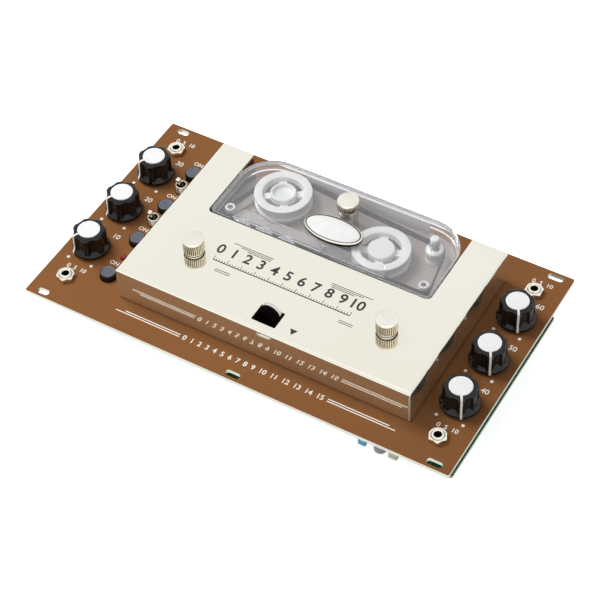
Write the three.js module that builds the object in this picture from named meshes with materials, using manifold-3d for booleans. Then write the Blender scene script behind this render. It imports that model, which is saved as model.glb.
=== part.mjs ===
// Tape echo unit: a rack panel with its controls, a folded metal cover over a small tape
// transport, and a clear tape cartridge that drops into the cover's notch.
// Millimetres, +Z up and out of the panel's face. The part rests on its rear bridge.

import * as THREE from 'three';
import { mergeVertices } from 'three/addons/utils/BufferGeometryUtils.js';
import Module from 'manifold-3d';

const wasm = await Module();
wasm.setup();

// Shared clearances
const seat = 0.3; // gap between two pieces that rest on each other
const play = 0.3; // radial gap of a piece that turns or slides
const overrun = 1; // how far a cutting body passes the surface that it cuts

// Facets round a full turn
const fine = 28;
const plain = 16;
const coarse = 12;
const hexagon = 6;

// Pairs of facets along each arc of an outline
const wideArc = 9;
const plainArc = 3;
const smallArc = 1;

// Front panel
const panel = { width: 223.2, height: 128.5, thickness: 2, corner: 1 };
const slot = { width: 3.2, leftLength: 6.1, rightLength: 7.7, inset: 8.4, middleShift: 1, edge: 3.2 };

// Rows and columns of the controls, from the panel's edges
const knobColumn = { leftInset: 12.6, rightInset: 13.4 };
const knobRow = { shift: 1.15, pitch: 28.2 };
const jackRow = { nearInset: 15.8, farInset: 16.2 };
const buttonColumn = 30;
const buttonRow = { first: 25.9, pitch: 25 };
const toggleStep = 14.2; // a toggle lies this far above the button below it
const lampStep = 13.1; // and so does the lamp above the first button

// Knobs and the potentiometers that they turn
const knob = {
  skirtRadius: 9.35, bodyRadius: 8.2, crownRadius: 8, capRadius: 5.4,
  lift: 1, skirtHeight: 1.5, shoulderHeight: 3.6, height: 11.7, capRise: 0.3, crownChamfer: 0.7,
  scallop: 0.2, flute: 1.2, fluteShare: 2, lobes: 7, pointerWidth: 0.9, pointerRise: 0.2,
  minAngle: -126, maxAngle: -57,
};
const pot = { body: 9.6, depth: 6.8, bushing: 3.4, nutFlats: 10, nutHeight: 1.8, pinRow: 1.6 };

// Jacks, buttons, toggles and the lamp
const jack = {
  body: 9.4, floor: 1.2, bushing: 2.9, rise: 3.1, bore: 1.8, nutFlats: 8, nutHeight: 2.1,
  nutTurns: [12, 8, 25, 0],
};
const button = {
  radius: 4, rise: 3.2, rim: 0.35, sink: 1.2, stem: 1.7, stemEnd: 0.9, travel: 1.5, switchSide: 6.2,
};
const toggle = {
  bushing: 2.95, rise: 4.5, cup: 2.25, pivot: 1.6, lever: 0.75, ball: 1.35, reach: 9.1, lean: 15,
  bodyLength: 12.4, bodyWidth: 6.8, depth: 8,
};
const lamp = { radius: 1.5, rise: 2, flange: 1.9, flangeHeight: 0.8, lead: 0.3, leadGap: 1.27 };

// Circuit board behind the panel
const board = {
  gap: 10, thickness: 1.6, leftInset: 6, rightInset: 2.2, nearInset: 8.2, farInset: 15.6,
};
const standoff = { flats: 5, inset: 40, nearInset: 12.4, farInset: 20 };

// Folded cover, centred on the deck's middle line
const deckShift = 6.85;
const cover = { width: 153.6, near: 17.7, far: 112.6, height: 19.65, sheet: 1.5, bend: 2, foot: 0.4 };
const notch = { width: 117.9, near: 69.2, corner: 2.5 };
const coverWindow = { width: 12.2, near: 21.6, far: 31.2 };
const coverScrew = { spread: 50.6, y: 44.4, hole: 2.4 };

// Tape cartridge, measured from the deck's middle line and from its own near edge
const cassette = {
  sideGap: 0.6, nearGap: 0.7, depth: 45.1, bottom: 8.2, sheet: 1.5, wall: 1.5, split: 14,
  nearCorner: 3, farCorner: 18.5,
};
const pad = { width: 75, shift: -6, depth: 6.1, slope: 3, rise: 0.8 };
const reel = {
  flange: 14, core: 12.9, channelOuter: 9.8, channelInner: 6.3, dish: 4.9, pin: 3.1,
  roof: 1.4, channelDepth: 2.2, windows: 4, spoke: 4, windowLip: 0.3,
};
const leftReel = { x: -34.45, y: 28.1 };
const rightReel = { x: 23.95, y: 18.3 };
const guidePost = { radius: 2.45, x: 51.6, y: 7.8, pin: 1.1 };
const tensionPost = {
  x: 45.8, y: 29.6, body: 4.3, neck: 1.9, knob: 2.45, bodyTop: 16.8, knobHeight: 4.3, top: 25.6,
};
const tape = { width: 3.8, thickness: 0.3, middle: 14.5 };
const liner = { left: -30, right: 36.4, thickness: 0.6 };
const badge = { halfLength: 14.9, halfWidth: 7.7, rise: 2, crown: 0.6, rim: 1.1, y: 15.5 };
const cassetteScrew = { y: 29.9, shoulder: 4.6 };
const gate = { left: -47.5, right: 6.5 };

// Knurled screws and the pillars that they enter
const screw = {
  head: 5.15, top: 28.1, crown: 1.65, neck: 4.35, neckHeight: 0.9, longKnurl: 5.4, shank: 1.5,
  ridge: 0.3, ridges: 18,
};
const pillar = { radius: 3.6, bore: 2, boreDepth: 9, boreFloor: 0.6 };

// Well that the cartridge drops into
const well = { wall: 1.6, ledge: 5, ledgeLength: 9, gateMargin: 2.2 };

// Transport above the panel
const capstan = { radius: 1.25, bushing: 3.6, flange: 4.85, bushingRise: 3, bushingDrop: 4.5, pivot: 1.25 };
const pinch = {
  radius: 4.5, height: 4.6, pin: 0.9, collar: 2, arm: 1.2, armHalf: 2.4, pivotX: 11.2, pivotY: 62.2,
  post: 1.4, shoulder: 2.2,
};
const carriage = {
  sheet: 1.4, left: -46, right: 14.4, near: 50, far: 66.4, tongueHalf: 5.4, tongueNear: 29.5, travel: 6,
};
const head = {
  width: 9.4, spacing: 12, first: -41.4, back: 61.8, bottom: 10.6, top: 17.6, nose: 3.2,
  bracketWidth: 6, bracketSheet: 1.2,
};
const lever = { halfWidth: 5.1, face: 28.2, sheet: 1.8, footLength: 9 };
const guidePin = { left: -23.4, right: 4, y: 57, radius: 1.3, flange: 2.2, flangeHeight: 1 };

// Drive behind the board
const motor = { x: 32, y: 33.5, radius: 13, height: 15, boss: 3, edge: 1.2, shaft: 1 };
const flywheel = { radius: 22, rim: 3.6, height: 6.6, web: 2.4, hub: 5, drop: 2.6 };
const pulley = { radius: 5, flange: 6, flangeHeight: 1.2 };
const belt = { width: 3, thickness: 0.8 };
const bridge = { left: 84, right: 168, near: 20, far: 104, sheet: 1.2, flange: 8, drop: 28 };

// Parts soldered to the back of the board
const header = { length: 24, width: 8.6, height: 8, wall: 1, pin: 0.64, pitch: 2.54, pins: 8 };
const can = { wide: 4, narrow: 3.15, tall: 9.5, short: 8.2 };
const film = { length: 7.2, width: 3.8, height: 7.6 };
const chip = { long: 19, wide: 7.6, square: 14, height: 3.4, flat: 2.2 };

// Places of those parts' middles, as shares of the panel's width and height
const headerShares = [0.21, 0.69];
const wideCanShares = [[0.89, 0.27], [0.89, 0.37], [0.27, 0.79], [0.27, 0.7]];
const narrowCanShares = [[0.82, 0.102], [0.81, 0.72], [0.81, 0.66]];
const filmShares = [[0.783, 0.107], [0.8, 0.49], [0.8, 0.58], [0.27, 0.47]];
const longChipShares = [[0.89, 0.56], [0.89, 0.76], [0.21, 0.2]];
const squareChipShares = [[0.19, 0.37], [0.19, 0.53]];

// Places and levels worked out from the sizes above
const half = (value) => value / 2;
const middle = (low, high) => half(low + high);
const steps = (count) => Array.from({ length: count }, (_, i) => i);
const boardTop = -(panel.thickness + board.gap);
const boardBottom = boardTop - board.thickness;
const coverUnder = cover.height - cover.sheet;
const cassetteNear = notch.near + cassette.nearGap;
const cassetteTop = cover.height;
const cassetteHalf = half(notch.width) - cassette.sideGap;
const floorTop = cassette.bottom + cassette.sheet;
const lidUnder = cassetteTop - cassette.sheet;
const deckMiddle = half(panel.width) + deckShift;
const knobX = [knobColumn.leftInset, panel.width - knobColumn.rightInset];
const knobY = [-1, 0, 1].map((step) => half(panel.height) + knobRow.shift + step * knobRow.pitch);
const jackY = [jackRow.nearInset, panel.height - jackRow.farInset];
const buttonY = steps(4).map((step) => buttonRow.first + step * buttonRow.pitch);
const toggleY = [buttonY[1] + toggleStep, buttonY[2] + toggleStep];
const lampY = buttonY[0] + lampStep;
const tapeInner = guidePost.y - guidePost.radius - seat; // near run, from the cartridge's near edge
const tapeOuter = tapeInner - tape.thickness;
const tapeLow = tape.middle - half(tape.width);
const tapeHigh = tape.middle + half(tape.width);
const capstanPlace = [deckMiddle, cassetteNear + tapeInner + seat + capstan.radius];
const rollerY = cassetteNear + tapeOuter - seat - pinch.radius;
const motorPlace = [deckMiddle + motor.x, motor.y];
const pillarPlaces = [-1, 1].map((side) => [deckMiddle + side * coverScrew.spread, coverScrew.y]);
const cassetteScrewPlace = [deckMiddle, cassetteNear + cassetteScrew.y];
const nutTop = seat + pot.nutHeight;
const reelTop = lidUnder - seat;
const reelRoof = reelTop - reel.channelDepth - reel.roof; // underside of a reel's web
const carriageTop = seat + carriage.sheet;
const armLow = floorTop + seat;
const armHigh = armLow + pinch.arm;
const flywheelTop = boardBottom - flywheel.drop;
const flywheelBottom = flywheelTop - flywheel.height;
const beltLow = middle(flywheelBottom, flywheelTop) - half(belt.width);

// Materials
const paint = (color, roughness, metalness = 0) =>
  new THREE.MeshStandardMaterial({ color, roughness, metalness });
const brown = paint(0x7a4d2c, 0.45, 0.3);
const mirror = paint(0xdedcd2, 0.12, 1);
const nickel = paint(0xc9c4b8, 0.25, 1);
const steel = paint(0x9a9c9e, 0.35, 1);
const brass = paint(0xb89a5e, 0.35, 1);
const black = paint(0x141414, 0.4);
const gloss = paint(0x0d0d0f, 0.2);
const rubber = paint(0x1a1a1a, 0.85);
const slate = paint(0x5a5f6a, 0.45);
const white = paint(0xf0f0ee, 0.4);
const ferric = paint(0x3a2f2a, 0.3);
const green = paint(0x1e6e46, 0.4);
const red = paint(0xb01818, 0.3);
const clear = new THREE.MeshStandardMaterial({
  color: 0xdfe3e6, roughness: 0.1, transparent: true, opacity: 0.35,
});

// A closed geometry becomes a solid that can be joined and cut
function solidOf(geometry) {
  const bare = geometry.clone();
  bare.deleteAttribute('normal');
  bare.deleteAttribute('uv');
  const merged = mergeVertices(bare);
  const index = [];
  for (let i = 0; i < merged.index.count; i += 3) {
    const corners = [merged.index.getX(i), merged.index.getX(i + 1), merged.index.getX(i + 2)];
    if (new Set(corners).size === 3) index.push(...corners);
  }
  const vertProperties = Float32Array.from(merged.getAttribute('position').array);
  const triVerts = Uint32Array.from(index);
  return new wasm.Manifold(new wasm.Mesh({ numProp: 3, vertProperties, triVerts }));
}

function geometryOf(solid) {
  const mesh = solid.getMesh();
  const geometry = new THREE.BufferGeometry();
  geometry.setAttribute('position', new THREE.BufferAttribute(mesh.vertProperties, 3));
  geometry.setIndex(new THREE.BufferAttribute(mesh.triVerts, 1));
  geometry.computeVertexNormals();
  return geometry;
}

const join = (...solids) => solids.flat().reduce((total, next) => total.add(next));
const cut = (body, ...tools) => tools.flat().reduce((rest, tool) => rest.subtract(tool), body);

function block(x0, x1, y0, y1, z0, z1) {
  const geometry = new THREE.BoxGeometry(x1 - x0, y1 - y0, z1 - z0);
  return solidOf(geometry.translate(middle(x0, x1), middle(y0, y1), middle(z0, z1)));
}

const blockAt = (x, y, length, width, z0, z1) =>
  block(x - half(length), x + half(length), y - half(width), y + half(width), z0, z1);

function extrusion(shape, depth, facets) {
  return new THREE.ExtrudeGeometry(shape, { depth, bevelEnabled: false, curveSegments: facets });
}

const extrude = (shape, z0, z1, facets = plainArc) =>
  solidOf(extrusion(shape, z1 - z0, facets).translate(0, 0, z0));

// An outline in Y and Z drawn along X, and one in X and Z drawn along Y
const extrudeAlongX = (shape, x0, x1, facets = plainArc) => solidOf(
  extrusion(shape, x1 - x0, facets).rotateX(half(Math.PI)).rotateZ(half(Math.PI)).translate(x0, 0, 0),
);
const extrudeAlongY = (shape, y0, y1, facets = plainArc) =>
  solidOf(extrusion(shape, y1 - y0, facets).rotateX(half(Math.PI)).translate(0, y1, 0));

// A profile of radius and height pairs, turned about a vertical axis at x, y
function revolve(profile, x = 0, y = 0, facets = plain) {
  const points = profile.map(([radius, height]) => new THREE.Vector2(radius, height));
  const geometry = new THREE.LatheGeometry(points, facets).rotateX(half(Math.PI));
  return solidOf(geometry.translate(x, y, 0));
}

const rod = (radius, z0, z1, x = 0, y = 0, facets = plain) =>
  revolve([[0, z0], [radius, z0], [radius, z1], [0, z1]], x, y, facets);

const ring = (outer, inner, z0, z1, x = 0, y = 0, facets = plain) =>
  revolve([[inner, z0], [outer, z0], [outer, z1], [inner, z1], [inner, z0]], x, y, facets);

const hexRod = (flats, z0, z1, x = 0, y = 0) => rod(flats / Math.sqrt(3), z0, z1, x, y, hexagon);

// A closed skin through level rings of points, one ring above the other
function skin(rings) {
  const count = rings[0].length;
  const last = (rings.length - 1) * count;
  const centre = (points) => new THREE.Vector3(0, 0, points[0].z);
  const corners = [...rings.flat(), centre(rings[0]), centre(rings.at(-1))];
  const faces = [];
  for (let i = 0; i < count; i += 1) {
    const next = (i + 1) % count;
    faces.push(corners.length - 2, next, i, corners.length - 1, last + i, last + next);
    for (let row = 0; row < last; row += count) {
      faces.push(row + i, row + next, row + count + next);
      faces.push(row + i, row + count + next, row + count + i);
    }
  }
  const geometry = new THREE.BufferGeometry().setFromPoints(corners);
  geometry.setIndex(faces);
  return solidOf(geometry);
}

const polarPoint = (radius, angle, z) =>
  new THREE.Vector3(radius * Math.cos(angle), radius * Math.sin(angle), z);

function polygon(points) {
  return new THREE.Shape(points.map(([x, y]) => new THREE.Vector2(x, y)));
}

// A rectangle with round corners, each with its own radius from the near left one on
function roundedBox(x0, x1, y0, y1, radius) {
  const [nearLeft, nearRight, farRight, farLeft] = Array.isArray(radius) ? radius : Array(4).fill(radius);
  const quarter = half(Math.PI);
  const shape = new THREE.Shape();
  shape.absarc(x0 + nearLeft, y0 + nearLeft, nearLeft, 2 * quarter, 3 * quarter);
  shape.absarc(x1 - nearRight, y0 + nearRight, nearRight, 3 * quarter, 4 * quarter);
  shape.absarc(x1 - farRight, y1 - farRight, farRight, 0, quarter);
  shape.absarc(x0 + farLeft, y1 - farLeft, farLeft, quarter, 2 * quarter);
  return shape;
}

const slotShape = (x, y, length, width) =>
  roundedBox(x - half(length), x + half(length), y - half(width), y + half(width), half(width));

// The taut outline round circles that are listed anticlockwise, all widened by one offset
function tautOutline(circles, offset) {
  const normals = circles.map((from, i) => {
    const to = circles[(i + 1) % circles.length];
    const along = Math.atan2(to.y - from.y, to.x - from.x);
    const apart = Math.hypot(to.x - from.x, to.y - from.y);
    return along - Math.acos((from.radius - to.radius) / apart);
  });
  const outline = new THREE.Shape();
  circles.forEach((circle, i) => {
    const start = normals[(i + circles.length - 1) % circles.length];
    outline.absarc(circle.x, circle.y, circle.radius + offset, start, normals[i]);
  });
  return outline;
}

const band = (circles, gap, thickness, z0, z1, facets = wideArc) => cut(
  extrude(tautOutline(circles, gap + thickness), z0, z1, facets),
  extrude(tautOutline(circles, gap), z0 - overrun, z1 + overrun, facets),
);

// The unit stands on its bridge with its middle at the origin
const unit = new THREE.Group();
unit.position.set(-half(panel.width), -half(panel.height), bridge.drop);

function add(name, material, solid, place = [0, 0, 0], turn = 0) {
  const mesh = new THREE.Mesh(geometryOf(solid), material);
  mesh.name = name;
  mesh.position.set(...place);
  mesh.rotation.z = THREE.MathUtils.degToRad(turn);
  unit.add(mesh);
}

const deckPlace = [deckMiddle, 0, 0];
const cassettePlace = [deckMiddle, cassetteNear, 0];

// The plate, with its pressed-in screw pillars, slide pins and board posts
function frontPanel() {
  const plate = extrude(
    roundedBox(0, panel.width, 0, panel.height, panel.corner), -panel.thickness, 0, smallArc,
  );
  const through = [-panel.thickness - overrun, overrun];
  const slots = [slot.edge, panel.height - slot.edge].flatMap((y) => [
    slotShape(slot.inset, y, slot.leftLength, slot.width),
    slotShape(half(panel.width) + slot.middleShift, y, slot.leftLength, slot.width),
    slotShape(panel.width - slot.inset, y, slot.rightLength, slot.width),
  ]).map((shape) => extrude(shape, ...through, smallArc));
  const holes = [
    ...knobX.flatMap((x) => knobY.map((y) => [pot.bushing + play, x, y])),
    ...knobX.flatMap((x) => jackY.map((y) => [jack.bushing + play, x, y])),
    ...buttonY.map((y) => [button.radius + play, buttonColumn, y]),
    ...toggleY.map((y) => [toggle.bushing + play, buttonColumn, y]),
    [lamp.flange + play, buttonColumn, lampY],
    [capstan.bushing + seat, ...capstanPlace],
    [motor.boss + play, ...motorPlace],
  ].map(([radius, x, y]) => rod(radius, ...through, x, y, coarse));
  const inside = -half(panel.thickness);
  const pillars = [
    ...pillarPlaces.map((place) => [coverUnder - seat, ...place]),
    [cassette.bottom - seat, ...cassetteScrewPlace],
  ].map(([top, x, y]) => cut(
    rod(pillar.radius, inside, top, x, y),
    rod(pillar.bore, Math.max(pillar.boreFloor, top - pillar.boreDepth), top + overrun, x, y, coarse),
  ));
  const pins = [guidePin.left, guidePin.right].map((x) => revolve([
    [0, inside], [guidePin.radius, inside], [guidePin.radius, carriageTop + seat],
    [guidePin.flange, carriageTop + seat],
    [guidePin.flange, carriageTop + seat + guidePin.flangeHeight],
    [0, carriageTop + seat + guidePin.flangeHeight],
  ], deckMiddle + x, guidePin.y, coarse));
  const posts = [standoff.inset, panel.width - standoff.inset].flatMap((x) => [
    hexRod(standoff.flats, boardTop + seat, inside, x, standoff.nearInset),
    hexRod(standoff.flats, boardTop + seat, inside, x, panel.height - standoff.farInset),
  ]);
  add('front_panel', brown, join(cut(plate, slots, holes), pillars, pins, posts));
}

function knobs() {
  const top = knob.lift + knob.height;
  const rows = [
    [knob.lift, knob.skirtRadius, knob.scallop],
    [knob.lift + knob.skirtHeight, knob.skirtRadius, knob.scallop],
    [knob.lift + knob.shoulderHeight, knob.bodyRadius, knob.flute],
    [top - knob.crownChamfer, knob.crownRadius, knob.flute],
    [top, knob.crownRadius - knob.crownChamfer, knob.flute],
  ];
  const samples = knob.lobes * 4;
  const rings = rows.map(([z, radius, depth]) => steps(samples).map((i) => {
    const angle = (2 * Math.PI * i) / samples;
    const share = Math.abs(Math.sin(half(knob.lobes * angle))) ** knob.fluteShare;
    return polarPoint(radius - depth * share, angle, z);
  }));
  const cap = rod(knob.capRadius, top - knob.capRise, top + knob.capRise, 0, 0, plain);
  // The pointer follows the knob's outline from the cap to the edge of the skirt
  const line = polygon([
    [knob.capRadius - knob.capRise, top - knob.capRise],
    [knob.skirtRadius - knob.skirtHeight, knob.lift + knob.pointerRise],
    [knob.skirtRadius + knob.pointerRise, knob.lift + knob.pointerRise],
    [knob.skirtRadius + knob.pointerRise, knob.lift + knob.skirtHeight],
    [knob.bodyRadius + knob.pointerRise, knob.lift + knob.shoulderHeight],
    [knob.crownRadius + knob.pointerRise, top - knob.crownChamfer],
    [knob.crownRadius - knob.crownChamfer, top + knob.pointerRise],
    [knob.capRadius - knob.capRise, top + knob.pointerRise],
  ]);
  const pointer = extrudeAlongY(line, -half(knob.pointerWidth), half(knob.pointerWidth));
  // Under the knob there is room for the nut, and its hub stands on the bushing
  const nutRoom = pot.nutFlats / Math.sqrt(3) + play;
  const room = rod(nutRoom, knob.lift - overrun, nutTop + seat, 0, 0, coarse);
  const whole = cut(join(skin(rings), cap, pointer), room);
  const angles = [knob.minAngle, knob.maxAngle];
  ['left', 'right'].forEach((side, i) => knobY.forEach((y, row) => {
    add(`knob_${side}_${row + 1}`, gloss, whole, [knobX[i], y, 0], angles[i]);
  }));
}

function potentiometers() {
  const under = -panel.thickness - seat;
  const side = half(pot.body);
  const whole = join(
    blockAt(0, 0, pot.body, pot.body, under - pot.depth, under),
    block(-side, side, -side - pot.pinRow, -side, boardTop + seat, under - half(pot.depth)),
    rod(pot.bushing, under - seat, nutTop, 0, 0, coarse),
    hexRod(pot.nutFlats, seat, nutTop),
  );
  ['left', 'right'].forEach((side, i) => knobY.forEach((y, row) => {
    add(`pot_${side}_${row + 1}`, steel, whole, [knobX[i], y, 0]);
  }));
}

function jacks() {
  const under = -panel.thickness - seat;
  const low = boardTop + seat;
  const socket = cut(
    join(
      blockAt(0, 0, jack.body, jack.body, low, under),
      rod(jack.bushing, under - seat, jack.rise, 0, 0, coarse),
    ),
    rod(jack.bore, low + jack.floor, jack.rise + overrun, 0, 0, coarse),
  );
  const nut = cut(
    hexRod(jack.nutFlats, seat, seat + jack.nutHeight),
    rod(jack.bushing + play, seat - overrun, seat + jack.nutHeight + overrun, 0, 0, coarse),
  );
  const places = knobX.flatMap((x) => jackY.map((y) => [x, y, 0]));
  ['left_near', 'left_far', 'right_near', 'right_far'].forEach((name, i) => {
    add(`jack_${name}`, black, socket, places[i]);
    add(`jack_nut_${name}`, nickel, nut, places[i], jack.nutTurns[i]);
  });
}

function buttons() {
  const end = boardTop + seat + button.travel + button.stemEnd;
  const rim = button.radius - button.rim;
  const cap = revolve([
    [0, end], [button.stem, end], [button.stem, -button.sink], [button.radius, -button.sink],
    [button.radius, button.rise - button.rim], [rim, button.rise], [rim - button.rim, button.rise],
    [rim - 2 * button.rim, button.rise - button.rim], [0, button.rise - button.rim],
  ], 0, 0, coarse);
  buttonY.forEach((y, i) => add(`button_${i + 1}`, slate, cap, [buttonColumn, y, 0]));
}

function toggles() {
  const under = -panel.thickness - seat;
  const floor = toggle.pivot - toggle.ball;
  const cup = revolve([
    [0, floor], [toggle.lever + play, floor], [toggle.cup, toggle.rise - toggle.lever],
    [toggle.cup, toggle.rise + overrun], [0, toggle.rise + overrun],
  ], 0, 0, coarse);
  const body = cut(
    join(
      blockAt(0, 0, toggle.bodyWidth, toggle.bodyLength, under - toggle.depth, under),
      rod(toggle.bushing, under - seat, toggle.rise, 0, 0, coarse),
    ),
    cup,
  );
  // The lever is a plain stem with a round tip, standing on its pivot
  const stem = toggle.reach - toggle.ball;
  const tip = steps(6).map((i) => {
    const angle = Math.PI * (i / 8 - 1 / 8);
    return [toggle.ball * Math.cos(angle), stem + toggle.ball * Math.sin(angle)];
  });
  tip[5][0] = 0;
  tip[5][1] = toggle.reach;
  const upright = revolve([[0, 0], [toggle.lever, 0], ...tip], 0, 0, coarse);
  const leaning = solidOf(geometryOf(upright).rotateX(THREE.MathUtils.degToRad(toggle.lean)));
  toggleY.forEach((y, i) => {
    add(`toggle_switch_${i + 1}`, nickel, body, [buttonColumn, y, 0]);
    add(`toggle_lever_${i + 1}`, nickel, leaning, [buttonColumn, y, toggle.pivot]);
  });
}

function statusLamp() {
  const foot = -panel.thickness;
  const dome = steps(4).map((i) => {
    const angle = half(Math.PI) * (i / 3);
    return [lamp.radius * Math.cos(angle), lamp.rise - lamp.radius + lamp.radius * Math.sin(angle)];
  });
  dome[3][0] = 0;
  const body = revolve([
    [0, foot], [lamp.flange, foot], [lamp.flange, foot + lamp.flangeHeight],
    [lamp.radius, foot + lamp.flangeHeight], ...dome,
  ], 0, 0, coarse);
  const leads = [-1, 1].map((side) => rod(
    lamp.lead, boardTop + seat, foot + lamp.lead, half(side * lamp.leadGap), 0, hexagon,
  ));
  add('status_lamp', red, join(body, leads), [buttonColumn, lampY, 0]);
}

// The board, with the switches on its front and the larger parts on its back
function circuitBoard() {
  const plate = extrude(roundedBox(
    board.leftInset, panel.width - board.rightInset, board.nearInset, panel.height - board.farInset,
    panel.corner,
  ), boardBottom, boardTop, smallArc);
  const through = [boardBottom - overrun, boardTop + overrun];
  const drills = [
    rod(capstan.bushing + play, ...through, ...capstanPlace, coarse),
    rod(motor.boss + play, ...through, ...motorPlace, coarse),
  ];
  const inside = middle(boardBottom, boardTop);
  const at = ([x, y]) => [x * panel.width, y * panel.height];
  const switchTop = -panel.thickness - button.sink - button.travel - seat;
  const switches = buttonY.map((y) => cut(
    blockAt(buttonColumn, y, button.switchSide, button.switchSide, inside, switchTop),
    rod(button.stem + play, boardTop + seat, switchTop + overrun, buttonColumn, y, coarse),
  ));
  const tube = (radius, height) => (share) => revolve([
    [0, boardBottom - height], [radius, boardBottom - height], [radius, inside], [0, inside],
  ], ...at(share), coarse);
  const box = (length, width, height) => (share) =>
    blockAt(...at(share), length, width, boardBottom - height, inside);
  const parts = [
    wideCanShares.map(tube(can.wide, can.tall)),
    narrowCanShares.map(tube(can.narrow, can.short)),
    filmShares.map(box(film.width, film.length, film.height)),
    longChipShares.map(box(chip.wide, chip.long, chip.height)),
    squareChipShares.map(box(chip.square, chip.square, chip.flat)),
  ].flat();
  // The power header is an open shroud round two rows of pins
  const [x, y] = at(headerShares);
  const mouth = boardBottom - header.height;
  const shroud = cut(
    blockAt(x, y, header.length, header.width, mouth, inside),
    blockAt(
      x, y, header.length - 2 * header.wall, header.width - 2 * header.wall, mouth - overrun,
      boardBottom - header.wall,
    ),
  );
  const pins = steps(header.pins).flatMap((i) => [-1, 1].map((side) => blockAt(
    x + (i - half(header.pins - 1)) * header.pitch, y + half(side * header.pitch),
    header.pin, header.pin, mouth + header.wall, inside,
  )));
  add('circuit_board', green, join(cut(plate, drills), switches, parts, shroud, pins));
}

// One folded sheet: top, four outer walls and the notch for the cartridge
function tapeCover() {
  const side = half(cover.width);
  const gap = half(notch.width);
  const quarter = half(Math.PI);
  const outline = new THREE.Shape();
  outline.moveTo(-side, cover.near);
  outline.lineTo(side, cover.near);
  outline.lineTo(side, cover.far);
  outline.lineTo(gap, cover.far);
  outline.absarc(gap - notch.corner, notch.near + notch.corner, notch.corner, 0, -quarter, true);
  outline.absarc(
    notch.corner - gap, notch.near + notch.corner, notch.corner, -quarter, -2 * quarter, true,
  );
  outline.lineTo(-gap, cover.far);
  outline.lineTo(-side, cover.far);
  // The bends are round, so the sheet is what the plan and two rounded bars share
  const below = cover.foot - cover.bend - overrun;
  const acrossX = roundedBox(-side, side, below, cover.height, cover.bend);
  const acrossY = roundedBox(cover.near, cover.far, below, cover.height, cover.bend);
  const body = extrude(outline, cover.foot, cover.height)
    .intersect(extrudeAlongY(acrossX, cover.near - overrun, cover.far + overrun, smallArc))
    .intersect(extrudeAlongX(acrossY, -side - overrun, side + overrun, smallArc));
  const inside = block(
    -side + cover.sheet, side - cover.sheet, cover.near + cover.sheet, cover.far - cover.sheet,
    cover.foot - overrun, coverUnder,
  );
  const cutHeight = [coverUnder - overrun, cover.height + overrun];
  const opening = block(
    -half(coverWindow.width), half(coverWindow.width), coverWindow.near, coverWindow.far, ...cutHeight,
  );
  const holes = [-1, 1].map((way) => rod(
    coverScrew.hole, ...cutHeight, way * coverScrew.spread, coverScrew.y, coarse,
  ));
  add('tape_cover', mirror, cut(body, inside, opening, holes), deckPlace);
}

// A knurled head over a plain neck, with a shank that reaches down into its pillar
function knurledScrew(foot, knurlLow, neckRadius, shankEnd) {
  const knurlHigh = screw.top - screw.crown;
  const root = screw.head - screw.ridge;
  const teeth = 2 * screw.ridges;
  const rows = [
    [knurlLow - screw.ridge, root - screw.ridge, 0], [knurlLow, root, screw.ridge],
    [knurlHigh - screw.ridge, root, screw.ridge], [knurlHigh, root - screw.ridge, 0],
  ];
  const rings = rows.map(([z, radius, depth]) => steps(teeth).map((i) => (
    polarPoint(radius + (i % 2 === 0 ? depth : 0), (2 * Math.PI * i) / teeth, z)
  )));
  const crown = revolve([
    [0, knurlHigh - screw.ridge], [root - screw.ridge, knurlHigh - screw.ridge],
    [root - screw.ridge, knurlHigh], [screw.head, knurlHigh + screw.ridge],
    [screw.head, screw.top - 2 * screw.ridge], [root - screw.ridge, screw.top], [0, screw.top],
  ]);
  const stem = revolve([
    [0, shankEnd], [screw.shank, shankEnd], [screw.shank, foot], [neckRadius, foot],
    [neckRadius, knurlLow], [0, knurlLow],
  ], 0, 0, coarse);
  return join(skin(rings), crown, stem);
}

function screws() {
  const foot = cover.height + seat;
  const shankEnd = coverUnder - pillar.boreDepth + overrun;
  const short = knurledScrew(foot, foot + screw.neckHeight, screw.neck, shankEnd);
  ['left', 'right'].forEach((side, i) => {
    add(`cover_screw_${side}`, nickel, short, [...pillarPlaces[i], 0]);
  });
  const knurlLow = screw.top - screw.longKnurl;
  const longEnd = middle(cassette.bottom, pillar.boreFloor);
  const long = knurledScrew(floorTop + seat, knurlLow, cassetteScrew.shoulder, longEnd);
  add('cassette_screw', nickel, long, [...cassetteScrewPlace, 0]);
}

// Three walls inside the cover's notch, with a window for the heads and corner ledges
function cassetteWell() {
  const inner = half(notch.width);
  const outer = inner + well.wall;
  const far = cover.far - cover.sheet - seat;
  const top = coverUnder - seat;
  const frame = cut(
    block(-outer, outer, notch.near - well.wall, far, seat, top),
    block(-inner, inner, notch.near, far + overrun, seat - overrun, top + overrun),
    block(
      gate.left - well.gateMargin, gate.right + well.gateMargin, notch.near - well.wall - overrun,
      notch.near + overrun, armLow - 2 * seat, top + overrun,
    ),
  );
  const rows = [notch.near, cassetteNear + cassette.depth - cassette.farCorner - well.ledgeLength];
  const ledges = rows.flatMap((y) => [
    block(-inner - seat, -inner + well.ledge, y - seat, y + well.ledgeLength, seat, cassette.bottom - seat),
    block(inner - well.ledge, inner + seat, y - seat, y + well.ledgeLength, seat, cassette.bottom - seat),
  ]);
  add('cassette_well', black, join(frame, ledges), deckPlace);
}

function cassetteOutline(inset) {
  const near = cassette.nearCorner - inset;
  const far = cassette.farCorner - inset;
  return roundedBox(
    inset - cassetteHalf, cassetteHalf - inset, inset, cassette.depth - inset, [near, near, far, far],
  );
}

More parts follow.
